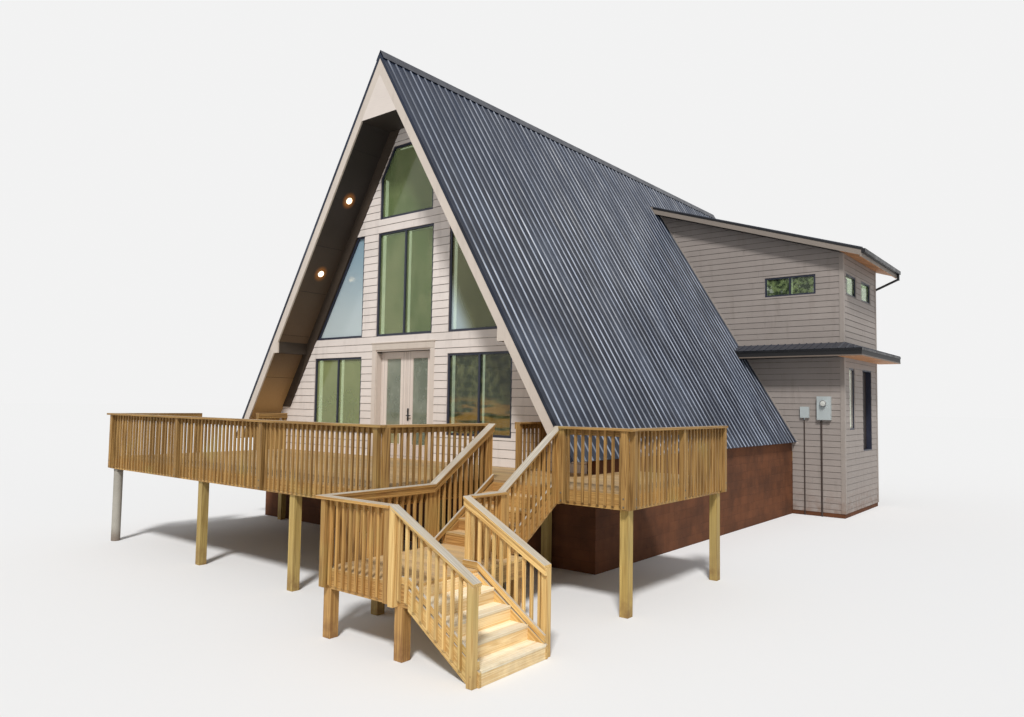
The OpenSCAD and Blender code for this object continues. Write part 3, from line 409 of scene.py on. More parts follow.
def plain_metal(name, base, rough=0.4, metal=0.3, dust=(120, 112, 100), wear=0.25, pipes_below=None):
    """Painted or bare metal; pipes below a level are brown."""
    m = Mat(name, rough=rough, metal=metal, spec=0.5)
    if pipes_below:
        base = m.mix(m.below(m.z, pipes_below), base, lin(62, 50, 44))
    n1 = m.noise(3.5, 4)
    n2 = m.noise(60, 3)
    c = m.shade(base, n1, 0.14)
    up = m.times(m.span(m.nz, 0.3, 0.95), m.span(n1, 0.35, 0.65))
    c = m.mix(m.times(up, wear), c, lin(*dust))
    return m.done(c, m.span(n1, 0.3, 0.7, rough - 0.07, rough + 0.12), n2, 0.0006, 0.3)


def glazing(name, kind):
    """Coated panes, partly seen through, with painted reflections of trees and sky as green, blue and pale
    mottling.
    """
    m = Mat(name, rough=0.05, spec=0.6, Alpha=0.6)
    big = m.noise((0.9, 0.9, 0.6), 4, 0.6, 0.3)
    leaf = m.noise(7, 5, 0.65)
    if kind == "house":
        # painted reflections of leaves and sky in the house's windows
        green = m.mix(m.span(big, 0.3, 0.7), lin(104, 124, 78), lin(142, 152, 108))
        green = m.mix(m.span(leaf, 0.55, 0.75, 0, 0.3), green, lin(164, 178, 132))
        green = m.mix(m.span(m.z, 2.6, 2.2, 0, 0.5), green, lin(168, 178, 122))
        blue = m.mix(m.span(m.z, 5.2, 2.9), lin(156, 186, 204), lin(214, 228, 232))
        olive = m.mix(m.span(big, 0.3, 0.7), lin(122, 128, 84), lin(142, 146, 102))
        dark = m.mix(m.span(leaf, 0.4, 0.65), lin(58, 68, 46), lin(112, 118, 82))
        # painted warm reflection low on the lower windows
        warm = m.times(m.span(m.z, 1.45, 1.2), m.span(m.noise((1.2, 1.2, 9), 2), 0.42, 0.55, 0, 0.75))
        dark = m.mix(warm, dark, lin(166, 132, 70))
        up = m.above(m.z, 2.6)
        left = m.times(up, m.below(m.x, -1.2))
        right = m.times(up, m.above(m.x, 1.2))
        low = m.times(m.below(m.z, 2.6), m.above(m.x, 1.2))
        c = m.mix(left, green, blue)
        # painted reflection of the sky in the lower inner corner of the right window
        edge = m.minus(m.minus(4.15, m.z), m.times(m.minus(m.x, 1.4), 1.9))
        c = m.mix(right, c, m.mix(m.span(edge, -0.25, 0.75), olive, lin(190, 208, 212)))
        c = m.mix(low, c, dark)
    elif kind == "door":
        # painted reflections of leaves, with a warm low part on the left leaf
        c = m.mix(m.span(big, 0.35, 0.65), lin(124, 134, 116), lin(164, 170, 152))
        c = m.mix(m.span(leaf, 0.55, 0.72, 0, 0.5), c, lin(196, 202, 190))
        warm = m.times(m.span(m.z, 0.9, 0.5), m.below(m.x, 0.0))
        c = m.mix(m.times(warm, 0.5), c, lin(196, 178, 110))
    else:
        # painted reflections of leaves and bright spots on the wing's panes
        c = m.mix(m.span(leaf, 0.42, 0.6), lin(52, 66, 46), lin(128, 146, 96))
        c = m.mix(m.span(m.noise(4, 3), 0.56, 0.66, 0, 0.7), c, lin(188, 198, 186))
        # pale painted reflection on the narrow side window
        pale_reflection = m.times(m.above(m.x, 6.5), m.below(m.z, 2.6))
        c = m.mix(m.times(pale_reflection, 0.8), c, lin(206, 198, 190))
    return m.done(c, m.span(leaf, 0.3, 0.7, 0.03, 0.10), big, 0.002, 0.12)


def slope_lining(name):
    """Dark boarded soffit outside the gables, pale lining inside."""
    m = Mat(name, rough=0.66)
    grain = m.noise((14, 60, 14), 4, 0.6)
    big = m.noise(0.8, 3)
    # painted light and shade: near black high up, lighter and warmer lower down
    c = m.mix(m.span(m.z, 6.4, 1.6), lin(50, 45, 42), lin(112, 92, 72))
    c = m.mix(m.span(m.z, 2.6, 0.7), c, lin(196, 158, 106))
    c = m.shade(c, grain, 0.16)
    c = m.shade(c, big, 0.25)
    joint = line_at(m, m.within(m.z, 1.044, 0.3), 0.5, 0.0045)
    c = m.mix(m.times(joint, 0.8), c, lin(20, 17, 15))
    # warm light round the lamps
    for z in LAMP_ZS:
        far = m.plus(m.calc("POWER", m.minus(m.z, z), 2), m.calc("POWER", m.minus(m.y, LAMP_Y), 2))
        c = m.mix(m.span(m.calc("SQRT", far), 0.20, 0.07, 0, 0.75), c, lin(214, 138, 62))
    inside = m.times(m.above(m.y, 0.0), m.below(m.y, LEN))
    c = m.mix(inside, c, m.shade(lin(214, 210, 202), big, 0.08))
    return m.done(c, None, m.minus(m.times(grain, 0.4), joint), 0.002, 0.6)


def roof_slab(name, trim, under, stained=True):
    """Painted fascia boards round a roof; its soffit is stained past the wing's wall, and dark elsewhere, which
    on the wing's roofs is painted shade.
    """
    m = Mat(name, rough=0.6)
    grain = m.noise((5, 5, 60), 4, 0.6)
    c = m.shade(m.shade(trim, grain, 0.07), m.noise(1.3, 3), 0.1)
    gap = m.below(m.within(m.y, 0.14), 0.005)
    b = m.shade(m.shade(under, m.noise((1.5, 40, 1.5), 4), 0.3), m.cell(m.index(m.y, 0.14)), 0.2)
    b = m.mix(gap, b, lin(58, 32, 16))
    past_wall = m.above(m.x, WING_X if stained else 99.0)
    # painted shade on the wing's roofs: the soffit short of the wing's wall is dark
    b = m.mix(past_wall, m.shade(lin(50, 45, 41), grain, 0.2), b)
    c = m.mix(m.below(m.nz, -0.4), c, b)
    return m.done(c, None, grain, 0.001, 0.5)


def rough_wall(name, base, other, scale=6.0, courses=False):
    """Rendered wall with stains and splashes of soil; its block courses may show through."""
    m = Mat(name, rough=0.86, spec=0.2)
    n1 = m.noise(1.2, 5, 0.6)
    n2 = m.noise(scale * 6, 4, 0.7)
    runs = m.noise((6, 6, 0.6), 3)
    c = m.mix(m.span(n1, 0.3, 0.7), base, other)
    c = m.shade(m.shade(c, n2, 0.18), runs, 0.18)
    c = m.mix(m.span(m.z, BASE + 0.35, BASE, 0, 0.5), c, lin(92, 58, 38))
    height = m.plus(m.times(n2, 0.6), n1)
    if courses:
        row = m.index(m.z, BLOCK_H, BASE)
        along = m.plus(m.plus(m.x, m.y), m.times(row, BLOCK_H))
        joint = m.calc("MAXIMUM", m.below(m.within(m.z, BLOCK_H, BASE), 0.01),
                       m.below(m.within(along, BLOCK_L), 0.01))
        joint = m.times(joint, m.span(m.noise(2.0, 3), 0.3, 0.6, 0.2, 1.0))
        c = m.mix(m.times(joint, 0.35), c, lin(58, 38, 28))
        c = m.shade(c, m.cell(m.index(along, BLOCK_L), row), 0.1)
        height = m.minus(height, joint)
    return m.done(c, None, height, 0.006, 0.5)


def door_leaf(name, base, front_y, back_y, head_z=2.426, grooves=()):
    """Painted leaf with grooved stiles and with black lever, lock and hinges, which stand off its faces."""
    m = Mat(name, rough=0.45)
    grain = m.noise((22, 22, 1.2), 4)
    c = m.shade(m.shade(base, grain, 0.06), m.noise(2.1, 3), 0.08)
    c = m.mix(m.span(m.z, 0.5, 0.06, 0, 0.3), c, lin(150, 130, 112))
    # painted shade: darker at the head, above head_z and back from the face
    head = m.times(m.above(m.z, head_z), m.span(m.y, 0.002, 0.01))
    c = m.mix(m.times(head, 0.9), c, lin(44, 38, 35))
    off = m.calc("ABSOLUTE", m.x)
    for x in grooves:
        c = m.mix(m.times(line_at(m, off, x, 0.0035), 0.55), c, lin(96, 82, 74))
    dark = m.calc("MAXIMUM", m.below(m.y, front_y), m.above(m.y, back_y))
    c = m.mix(dark, c, m.shade(lin(26, 25, 26), grain, 0.3))
    rough = m.mix(dark, m.span(grain, 0.3, 0.7, 0.4, 0.52), m.span(grain, 0.3, 0.7, 0.28, 0.4))
    return m.done(c, rough, grain, 0.0005, 0.4)


def glowing(name, base, strength):
    m = Mat(name, rough=0.4, Emission_Color=base, Emission_Strength=strength)
    n = m.noise(40, 2)
    return m.done(m.shade(base, n, 0.05), m.span(n, 0.3, 0.7, 0.3, 0.5))


# painted light: the front's siding is a lighter, sunlit copy of the house paint; the wing's siding and trim are
# darker copies in painted shade
siding = painted_boards("paint_siding", lin(223, 214, 208), LAP, dirt=0.12, lap=True)
shaded_wing_siding = painted_boards("paint_wing_siding", lin(150, 141, 135), LAP, dirt=0.15, lap=True)
trim = painted_boards("paint_trim", lin(204, 193, 182), dirt=0.15)
shaded_wing_trim = painted_boards("paint_wing_trim", lin(154, 145, 138), dirt=0.15)
pent_trim = painted_boards("pent_trim", lin(112, 100, 90))
dark_beam = painted_boards("dark_beam", lin(62, 52, 43))
LEAF = lin(222, 210, 201)
moulding_paint = painted_boards("moulding_paint", LEAF)
small_sheet = sheet_metal("small_sheet", lin(36, 40, 50), lin(78, 83, 93))
cap_metal = plain_metal("cap_metal", lin(38, 43, 56), 0.36)
black_metal = plain_metal("black_metal", lin(30, 30, 33), 0.38)
galvanised = plain_metal("galvanised", lin(150, 150, 150), 0.42, 0.7)
dull_zinc = plain_metal("dull_zinc", lin(112, 104, 90), 0.6, 0.2)
# painted light: the window linings glow, though they are no lamp
glowing_liner = glowing("lining_glow", lin(222, 240, 208), 1.45)
deck_wood = timber("deck_wood", lin(180, 152, 110), lin(142, 112, 72), grey=0.4, knots=1.0)
tread_wood = timber("tread_wood", lin(216, 180, 118), lin(182, 140, 82), grey=0.1, knots=0.6, top_grey=0.3)
# painted sunlight: lighter copies of the stair wood for the lower flight's treads and risers
lit_lower_tread = timber("lit_lower_tread_wood", lin(253, 243, 218), lin(242, 222, 184), grey=0.05, top_grey=0.08, soil=0.2)
lit_lower_riser = timber("lit_lower_riser_wood", lin(247, 224, 178), lin(228, 194, 138), knots=0.4, soil=0.2)
# painted shade: darker copies of the pine for the deck's and the stairs' rails
rail_wood = timber("rail_wood", lin(170, 134, 80), lin(122, 90, 48), top_grey=0.35)
stair_rail = timber("stair_rail_wood", lin(190, 148, 86), lin(142, 102, 54), top_grey=1.0)
# painted sunlight: a lighter copy for the lower flight's rails and sides
lit_lower_rail = timber("lit_lower_rail_wood", lin(230, 196, 132), lin(192, 150, 88), top_grey=1.0, soil=0.3)
# painted shade: a darker copy for the upper flight's risers and sides and the landing's sides
shaded_side_wood = timber("shaded_side_wood", lin(194, 152, 92), lin(152, 110, 60), grey=0.05)

# Finishes of the frame's own nodes
FINISHES = (
    (painted_boards("paint_wall", lin(196, 184, 175), LAP),
     "front_wall_left front_wall_right front_wall_upper rear_wall "
     "wing_wall_front wing_wall_side wing_wall_door wing_wall_rear"),
    (rough_wall("skirt_wall", lin(112, 70, 46), lin(84, 54, 38), courses=True), "foundation"),
    (rough_wall("concrete", lin(176, 172, 162), lin(150, 146, 136), scale=9.0), "deck_pier"),
    (slope_lining("slope_lining"), "roof_left roof_right"),
    (sheet_metal("roof_sheet", lin(15, 20, 33), lin(44, 53, 72), ribs=True, rough=0.4),
     "roof_metal_left roof_metal_right"),
    (small_sheet, "wing_roof_metal"), (cap_metal, "ridge_cap"), (black_metal, "wing_gutter"),
    (trim, "rake_fascias"), (dark_beam, "soffit_beams"),
    (roof_slab("peak_finish", lin(213, 203, 195), lin(50, 44, 40), stained=False), "peak_panel"),
    # painted shade: the wing roof's fascia colour is a darkened copy of the trim
    (roof_slab("eave_roof", lin(140, 130, 121), lin(186, 130, 84)), "wing_roof"),
    (roof_slab("pent_slab", lin(25, 24, 25), lin(186, 130, 84)), "pent_roof"),
    (glowing("lamp_glow", lin(255, 226, 178), 4.0), "soffit_lights"),
    (plain_metal("frame_finish", lin(38, 42, 58), 0.42, 0.0, dust=(96, 96, 100), wear=0.3),
     "front_frames wing_frames wing_door_frame"),
    (glazing("pane", "house"), "front_glass"), (glazing("wing_pane", "wing"), "wing_glass"),
    (glazing("door_pane", "door"), "door_left_glass door_right_glass"),
    (door_leaf("leaf_paint", LEAF, 0.1455, 0.1905, grooves=(0.034, 0.098, 0.118, 0.768, 0.84)),
     "door_left door_right"),
    (door_leaf("door_frame_paint", lin(212, 200, 190), -0.5, 0.1905, head_z=2.40), "front_door_frame"),
    (plain_metal("side_leaf_paint", lin(50, 42, 38), 0.45, 0.0, dust=(90, 80, 70), wear=0.2), "wing_door"),
    (plain_metal("meter_grey", lin(178, 186, 186), 0.5, 0.1, dust=(170, 168, 158), wear=0.4, pipes_below=0.93),
     "meter_box"),
    (timber("floor_wood", lin(168, 128, 84), lin(130, 92, 56), "y", cell=(0.12, 9.0, 9.0), knots=0.4),
     "house_floors wing_floors"),
    (timber("post_wood", lin(190, 164, 98), lin(156, 128, 70), "z", 0.15, (0.5, 0.5, 9.0), 0.7), "deck_posts"))
frame_wood = timber("frame_wood", lin(184, 146, 86), lin(142, 104, 56), "frame", 0.1, (9.0, 9.0, 9.0))
finish_of = {name: mat for mat, names in FINISHES for name in names.split()}
for name, node in NODES.items():
    for slot in node.material_slots:
        slot.material = finish_of.get(name, frame_wood)


# Lap siding
def lap_wall(name, mat, outline, holes, place):
    """Wedge boards over an outline in (u, z), cut round holes; place gives the point for (u, z, out)."""
    sh = Shape()
    edges = []
    for poly in [outline] + holes:
        edges += zip(poly, poly[1:] + poly[:1])
    levels = {round(p[1], 5) for poly in [outline] + holes for p in poly}
    low, high = min(levels), max(levels)
    for i in range(math.floor(low / LAP), math.ceil(high / LAP)):
        a, b = i * LAP, (i + 1) * LAP
        cuts = sorted({max(a, low), min(b, high)} | {q for q in levels if a < q < b})
        joint = rng.uniform(-6, 6)
        for za, zb in zip(cuts, cuts[1:]):
            if zb - za < 1e-4:
                continue
            zm = (za + zb) / 2
            hit = sorted([u0 + (u1 - u0) * (q - w0) / (w1 - w0) for q in (zm, za, zb)]
                         for (u0, w0), (u1, w1) in edges if (w0 - zm) * (w1 - zm) < 0)
            da, db = (BUTT - TAPER * (q - a) / LAP for q in (za, zb))
            for (m0, p0, q0), (m1, p1, q1) in zip(hit[::2], hit[1::2]):
                parts = [(p0, q0, p1, q1)]
                j = joint + BOARD_LEN * math.ceil((m0 - joint) / BOARD_LEN)
                if max(p0, q0) + 0.3 < j < min(p1, q1) - 0.3:
                    parts = [(p0, q0, j - JOINT, j - JOINT), (j + JOINT, j + JOINT, p1, q1)]
                for a0, b0, a1, b1 in parts:
                    sh.ring(*([place(u, z, 0), place(v, z, 0), place(v, z, d), place(u, z, d)]
                              for u, v, z, d in ((a0, a1, za, da), (b0, b1, zb, db))))
    sh.piece(name, mat)


def flip(poly):
    return [(-x, z) for x, z in poly[::-1]]


def rect(x0, z0, x1, z1):
    return [(x0, z0), (x1, z0), (x1, z1), (x0, z1)]


def front_at(u, z, d):
    return u, -d, z


def wing_at(u, z, d):
    return u, WING_Y - d, z


def side_at(u, z, d):
    return WING_X + d, u, z


def sloped(sh, sides, y0, y1, *levels):
    """Board between two levels; sides gives its two edges at a height."""
    rings = []
    for z in levels:
        a, b = sides(z)
        rings.append([(a, y0, z), (b, y0, z), (b, y1, z), (a, y1, z)])
    sh.ring(*rings)


# Windows of the gable: pair over the doors, top window, slanted one, lower pair
SILL, HEAD, TOP0, TOP1, TOP2, PEAK = 2.795, 5.252, 5.572, 6.566, 7.260, 7.62
W_MID = rect(-0.92, SILL, 0.92, HEAD)
W_TOP = [(-0.88, TOP0), (0.88, TOP0), (0.88, TOP1), (0.46, TOP2), (-0.46, TOP2), (-0.88, TOP1)]
W_TRI = [(1.415, SILL), (hf(SILL) - 0.015, SILL), (1.675, HEAD), (1.415, HEAD)]
W_LOW = rect(1.415, 0.575, 3.2076, 2.33)
FRONT_HOLES = [W_MID, W_TOP, W_TRI, flip(W_TRI), W_LOW, flip(W_LOW)]
half = [(WALL_HX, 0.001), (WALL_HX, FOOT_Z), (hin(1.1), 1.1), (hf(1.1), 1.1), (hf(PEAK), PEAK)]
lap_wall("siding_front", siding, half + flip(half), FRONT_HOLES + [rect(-1.025, 0.0015, 1.025, 2.62)],
         front_at)
half = [(WALL_HX, -0.28), (WALL_HX, FOOT_Z), (0.02, RIDGE - ROOF_HX / K)]
lap_wall("siding_rear", siding, half + flip(half), [], lambda u, z, d: (u, LEN + d, z))

# Siding of the wing: a board of LINER's width runs along the roof sheets
LINER = 0.045
top_u = (K * (RIDGE - wbot(0)) + SHEET_HX + LINER) / (1 - K * WT)
foot = (SKIRT_OUT + 0.02, CLAD_Z)
high = [(WING_X, wbot(WING_X)), (top_u, wbot(top_u))]
eave = [(hout(0.24) + LINER, 0.24), (SKIRT_OUT + 0.02, 0.24)]
low_end = [foot, (WING_X, CLAD_Z), (WING_X, PENT_Z0), (hout(PENT_Z0) + LINER, PENT_Z0)] + eave
high_end = [(hout(PENT_Z) + LINER, PENT_Z), (WING_X, PENT_Z)] + high
W_FRONT = rect(4.42, 4.60, 5.91, 5.18)
W_SIDES = [rect(10.95, 4.56, 12.05, 5.18), rect(12.61, 4.56, 13.71, 5.18)]
W_NARROW = rect(11.22, 0.66, 11.78, 2.45)
W_DOOR = rect(12.66, 0.0, 13.72, 2.46)
lap_wall("siding_wing_low", shaded_wing_siding, low_end, [], wing_at)
lap_wall("siding_wing_high", shaded_wing_siding, high_end, [W_FRONT], wing_at)
lap_wall("siding_wing_rear", shaded_wing_siding, [foot, (WING_X, CLAD_Z)] + high + eave, [],
         lambda u, z, d: (u, WING_B + d, z))
lap_wall("siding_side_low", shaded_wing_siding, rect(WING_Y, CLAD_Z, WING_B, PENT_Z0), [W_NARROW, W_DOOR],
         side_at)
lap_wall("siding_side_high", shaded_wing_siding, rect(WING_Y, PENT_Z, WING_B, wbot(WING_X)), W_SIDES,
         side_at)

# Corner boards, door head, and the board along the slope on the wing
sh = Shape()
t, w = 0.024, 0.095
for z0, z1 in ((CLAD_Z, PENT_Z0), (PENT_Z, wbot(WING_X) - 0.001)):
    for x0, y0, y1 in ((WING_X - w, WING_Y - t, WING_Y), (WING_X, WING_Y, WING_Y + w),
                       (WING_X, WING_B - w, WING_B), (WING_X - w, WING_B, WING_B + t)):
        sh.board((x0, y0, z0), (WING_X + t, y1, z1))
sh.piece("corner_boards", shaded_wing_trim, bevel=0.002)
sh = Shape()
sh.board((-1.025, -0.024, 2.4705), (1.025, 0, 2.62))
sh.board((-1.045, -0.038, 2.62), (1.045, 0, 2.642))
sh.piece("door_head", trim, bevel=0.002)
# Dark edging between the boards on the gable and the slanted windows
sh = Shape()
for s in (1, -1):
    sloped(sh, lambda z: (s * (hf(z) - 0.0155), s * (hf(z) + 0.004)), -0.041, 0.012, 2.80, 5.25)
sh.piece("gable_edging", dark_beam)
sh = Shape()
for z0, z1 in ((0.3, PENT_Z0 - 0.002), (PENT_Z + 0.002, wbot(top_u) - 0.05)):
    for y0, y1 in ((WING_Y - 0.022, WING_Y), (WING_B, WING_B + 0.022)):
        sloped(sh, lambda z: (hout(z), hout(z) + LINER), y0, y1, z0, z1)
sh.piece("slope_boards", shaded_wing_trim, bevel=0.002)


# Linings of the window openings behind the frames
def inset(poly, d):
    """Outline moved inwards by d."""
    out = []
    n = len(poly)
    for i in range(n):
        a, b, c = (Vector(poly[(i + k) % n]) for k in (-1, 0, 1))
        e, f = (b - a).normalized(), (c - b).normalized()
        p, q = Vector((-e.y, e.x)), Vector((-f.y, f.x))
        out.append(tuple(b + (p + q) * d / (1 + p.dot(q))))
    return out


FRAME_BACK, MULLION_BACK, LINING_BACK = 0.101, 0.18, 0.232


def liner(sh, poly, place, t=0.014):
    """Boards along the level and upright sides of an opening."""
    inner = inset(poly, t)
    for i in range(len(poly)):
        j = (i + 1) % len(poly)
        (u0, w0), (u1, w1) = poly[i], poly[j]
        if abs(u1 - u0) > t and abs(w1 - w0) > t:
            continue
        q = (poly[i], poly[j], inner[j], inner[i])
        sh.ring(*([place(u, z, -d) for u, z in q] for d in (FRAME_BACK, LINING_BACK)))


sh = Shape()
for poly in FRONT_HOLES:
    liner(sh, poly, front_at)
liner(sh, W_FRONT, wing_at)
for poly in W_SIDES + [W_NARROW]:
    liner(sh, poly, side_at)
for x, z0, z1 in ((0.0, 2.81, 5.237), (2.311, 0.59, 2.315), (-2.311, 0.59, 2.315)):
    sh.board((x - 0.02, FRAME_BACK, z0), (x + 0.02, MULLION_BACK, z1))
sh.board((5.145, WING_Y + FRAME_BACK, 4.615), (5.185, WING_Y + MULLION_BACK, 5.165))
sh.piece("window_linings", glowing_liner)

# Deck: its corners, the rails' ends, the posts between them
DL, EX, DF, HEADY, DR, SX, SR, DB = 4.3457, 3.9957, 4.37, 2.08, 7.08, 4.30, 5.798, 1.23
EAVE, WAY, RB, MID_POSTS, SIDE_POST = 0.86, 1.51, 3.455, (2.86, 5.7), 1.64
PLANK, PLANK_T, JOISTS = 0.145, 0.038, 0.406


def plank(sh, x0, x1, y0, y1, z=0.0):
    """Board with its upper edges taken off."""
    c = 0.003
    prof = [(y0, z - PLANK_T), (y1, z - PLANK_T), (y1, z - c), (y1 - c, z), (y0 + c, z), (y0, z - c)]
    sh.ring(*([(x, y, z) for y, z in prof] for x in (x0, x1)))


sh = Shape(wood=True)
for y0, y1, x0, x1 in ((-DF, -HEADY, -4.347, SX), (-HEADY, 0.0, -4.347, DR), (0.0, DB, 5.199, DR)):
    n = max(1, round((y1 - y0) / PLANK))
    p = (y1 - y0) / n
    for i in range(n):
        ends = [x0, x1]
        if x1 - x0 > 3:
            ends.insert(1, x0 + JOISTS * rng.randint(3, int((x1 - x0) / JOISTS) - 1))
        for a, b in zip(ends, ends[1:]):
            if b - a > 0.05:
                plank(sh, a + (0.001 if a > x0 else 0), b - (0.001 if b < x1 else 0),
                      y0 + i * p + 0.0025, y0 + (i + 1) * p - 0.0025)
sh.piece("deck_planks", deck_wood, node="deck_boards")


def direction(place, dx, dz):
    """Direction in the house frame of a local one."""
    return Vector(place(dx, 0, dz)) - Vector(place(0, 0, 0))


def across(sh, place, pts, y0, y1, way=None):
    """Solid from y0 to y1 over an outline in (x, z)."""
    sh.ring(*([place(x, y, z) for x, z in pts] for y in (y0, y1)), way)


# Stairs: treads of two boards, risers and sides
STEPS, RISE, GOING, NOSE, RISER_T, TREAD_GAP, SIDE_T, SIDE_H = 5, 0.18, 0.275, 0.025, 0.019, 0.006, 0.038, 0.29
LA, LB, LF, LK, LT, POST = 4.478, 6.058, -5.45, -3.18, -0.9, 0.14
UPW, LOWW = 1.32, 1.26


def flight(name, mats, node, w, place):
    """Flight w wide; the materials are those of treads, risers and sides."""
    sh = Shape(wood=True)
    t, c = SIDE_T, 0.004
    deep = (GOING + NOSE - TREAD_GAP) / 2
    for i in range(1, STEPS):
        for k in (0, 1):
            xa = (i - 1) * GOING + k * (deep + TREAD_GAP)
            xb, z0, z1 = xa + deep, -i * RISE - t, -i * RISE
            prof = [(xa, z0), (xb - c, z0), (xb, z0 + c), (xb, z1 - c), (xb - c, z1), (xa + c, z1)]
            across(sh, place, prof + [(xa, z1 - c)], t, w - t)
    sh.index = 1
    for i in range(1, STEPS + 1):
        x = (i - 1) * GOING
        across(sh, place, rect(x, -i * RISE, x + RISER_T, -(i - 1) * RISE - t), t, w - t)
    sh.index = 2
    end = (STEPS - 1) * GOING + NOSE
    q = [(0, -t), (0, -SIDE_H), (STEPS * GOING - SIDE_H * GOING / RISE, -STEPS * RISE), (end, -STEPS * RISE),
         (end, -(STEPS - 1) * RISE - NOSE * RISE / GOING)]
    for y0, y1 in ((0, t), (w - t, w)):
        across(sh, place, q, y0, y1, direction(place, GOING, -RISE))
    sh.piece(name, mats, bevel=0.0015, node=node)


flight("upper_stairs", [tread_wood, shaded_side_wood, shaded_side_wood], "upper_flight", UPW,
       lambda x, y, z: (LA + y, -HEADY - x, z))
flight("lower_stairs", [lit_lower_tread, lit_lower_riser, lit_lower_rail], "lower_flight", LOWW,
       lambda x, y, z: (LB + x, LF + y, z + LT))
sh = Shape(wood=True)
rows = 15
for i in range(rows):
    y0 = LF + i * (LK - LF) / rows
    plank(sh, LA, LB, y0 + 0.003, y0 + (LK - LF) / rows - 0.003, LT)
sh.index = 1
z0, z1 = LT - 0.263, LT - 0.0385
for y0, y1 in ((LF, LF + SIDE_T), (LK - SIDE_T, LK)):
    sh.board((LA, y0, z0), (LB, y1, z1))
for x0, x1 in ((LA, LA + SIDE_T), (LB - SIDE_T, LB)):
    sh.board((x0, LF + SIDE_T, z0), (x1, LK - SIDE_T, z1))
for x in (LA, 5.833):
    for y in (LF, LK - POST):
        sh.board((x, y, BASE), (x + POST, y + POST, z0))
sh.piece("landing_boards", [tread_wood, shaded_side_wood], bevel=0.0015, node="landing")

# Rails: posts R wide and balusters outside the framing, boards on their inner side, flat caps CW wide
R, BAL, T, CW, SUB, RAIL, RIM, PITCH_B = 0.089, 0.038, 0.038, 0.14, 0.089, 0.93, -0.263, 0.122
UNDER, OVER, CLEAR, SEAT = RAIL - T, (CW - R) / 2, 0.012, 0.0003


def rail(sh, place, length, posts, c0=0.0, c1=0.0, low=RIM, over=OVER):
    """Level rail; posts are their left edges, c0 and c1 lengthen the cap."""
    def bar(x0, x1, q, way):
        sh.ring(*([place(x, y, z) for y, z in q] for x in (x0, x1)), way)

    run = direction(place, 1, 0)
    cuts = [-c0] + [p + R / 2 for p in posts[1:-1]] + [length + c1]
    for a, b in zip(cuts, cuts[1:]):
        bar(a + (0.001 if a > -c0 else 0), b, rect(-R - over, UNDER, CW - R - over, RAIL), run)
        bar(max(a, 0), min(b, length), rect(0.0005, UNDER - SUB, min(T, CW - R - over), UNDER - 0.0005), run)
    foot = 0.025 if low < 0 else 0
    for p in posts:
        bar(p, p + R, [(0, low), (0, UNDER), (-R, UNDER), (-R, low + foot)], (0, 0, 1))
    n = math.floor(length / PITCH_B)
    z = low + BAL / 2
    for i in range(1, n):
        x = i * length / n
        if min(abs(x - p - R / 2) for p in posts) > (R + BAL) / 2 + CLEAR:
            bar(x - BAL / 2, x + BAL / 2, [(0, z), (0, UNDER), (-BAL, UNDER), (-BAL, z + BAL)], (0, 0, 1))


def sloped_rail(sh, place, length, drop, level, foot0, foot1, string0, floor_at):
    """Sloped rail; its balusters reach over the stair's side, and stop at floor_at over a floor."""
    k = drop / length

    def top(x):
        return UNDER - x * k

    def low(x):
        return 0.006 - max(0, x - level) * drop / (length - level)

    def along(x0, x1, line, d0, d1, y0, y1, way):
        """Bar from x0 to x1, d0 to d1 over a line."""
        pts = [(x0, line(x0) + d0), (x1, line(x1) + d0), (x1, line(x1) + d1), (x0, line(x0) + d1)]
        across(sh, place, pts, y0, y1, way)

    run = direction(place, 1, -k)
    along(0, length, top, 0, T, -R, CW - R, run)
    along(0, length, top, -SUB, -0.0005, 0.0005, T, run)
    along(level, length, low, 0, SUB, 0.0005, T, direction(place, length - level, -drop))
    if level:
        along(0, level - 0.001, low, 0, SUB, 0.0005, T, direction(place, 1, 0))
    for x, z in ((0, foot0), (length - R, foot1)):
        across(sh, place, [(x, z), (x + R, z), (x + R, top(x + R)), (x, top(x))], -R, 0, (0, 0, 1))
    n = math.floor(length / PITCH_B)
    for i in range(1, n):
        x = i * length / n - BAL / 2
        if x > R + CLEAR and x + BAL < length - R - CLEAR:
            z = max(string0 - max(0, x + BAL - level) * RISE / GOING + 0.045, floor_at(x + BAL))
            sh.ring(*([place(u, 0, z), place(u, 0, top(u)), place(u, -BAL, top(u)), place(u, -BAL, z + BAL)]
                      for u in (x, x + BAL)), (0, 0, 1))


def rails(name, mat, node, *runs):
    sh = Shape(wood=True)
    for fn, *args in runs:
        fn(sh, *args)
    sh.piece(name, mat, bevel=0.002, node=node)


LEN_FL, LEN_FR, LEN_SR, LEN_L, SHORT = DL + SX, DR - SR - R, HEADY + DB, DF - EAVE - WAY, 0.646
FL_POSTS = [0] + [x - R / 2 for x in MID_POSTS] + [LEN_FL - R]
rails("deck_rail_front", rail_wood, "rail_front_left",
      (rail, lambda x, y, z: (x - DL, y - DF, z), LEN_FL, FL_POSTS, OVER + R, R))
rails("deck_rail_right_front", rail_wood, "rail_front_right",
      (rail, lambda x, y, z: (SR + R + x, y - HEADY, z), LEN_FR, [0, LEN_FR - R], 0, OVER + R))
rails("deck_rail_right", rail_wood, "rail_side_right",
      (rail, lambda x, y, z: (DR - y, x - HEADY, z), LEN_SR, [0, SIDE_POST - R / 2, LEN_SR - R],
       -OVER - SEAT, 0))
rails("deck_rail_left", rail_wood, "rail_left_sides",
      (rail, lambda x, y, z: (y - DL, -EAVE - WAY - x, z), LEN_L, [0, LEN_L - R], 0, -OVER - SEAT),
      (rail, lambda x, y, z: (SX - y, x - DF, z), DF - HEADY, [0, DF - HEADY - R], -OVER - SEAT, 0, RIM, 0))
rails("deck_rail_eaves", rail_wood, "rail_eaves",
      (rail, lambda x, y, z: (y - DL, -x, z), EAVE, [0, EAVE - R]),
      (rail, lambda x, y, z: (EX - y, x - EAVE, z), EAVE, [0, EAVE - R], 0, 0, 0))
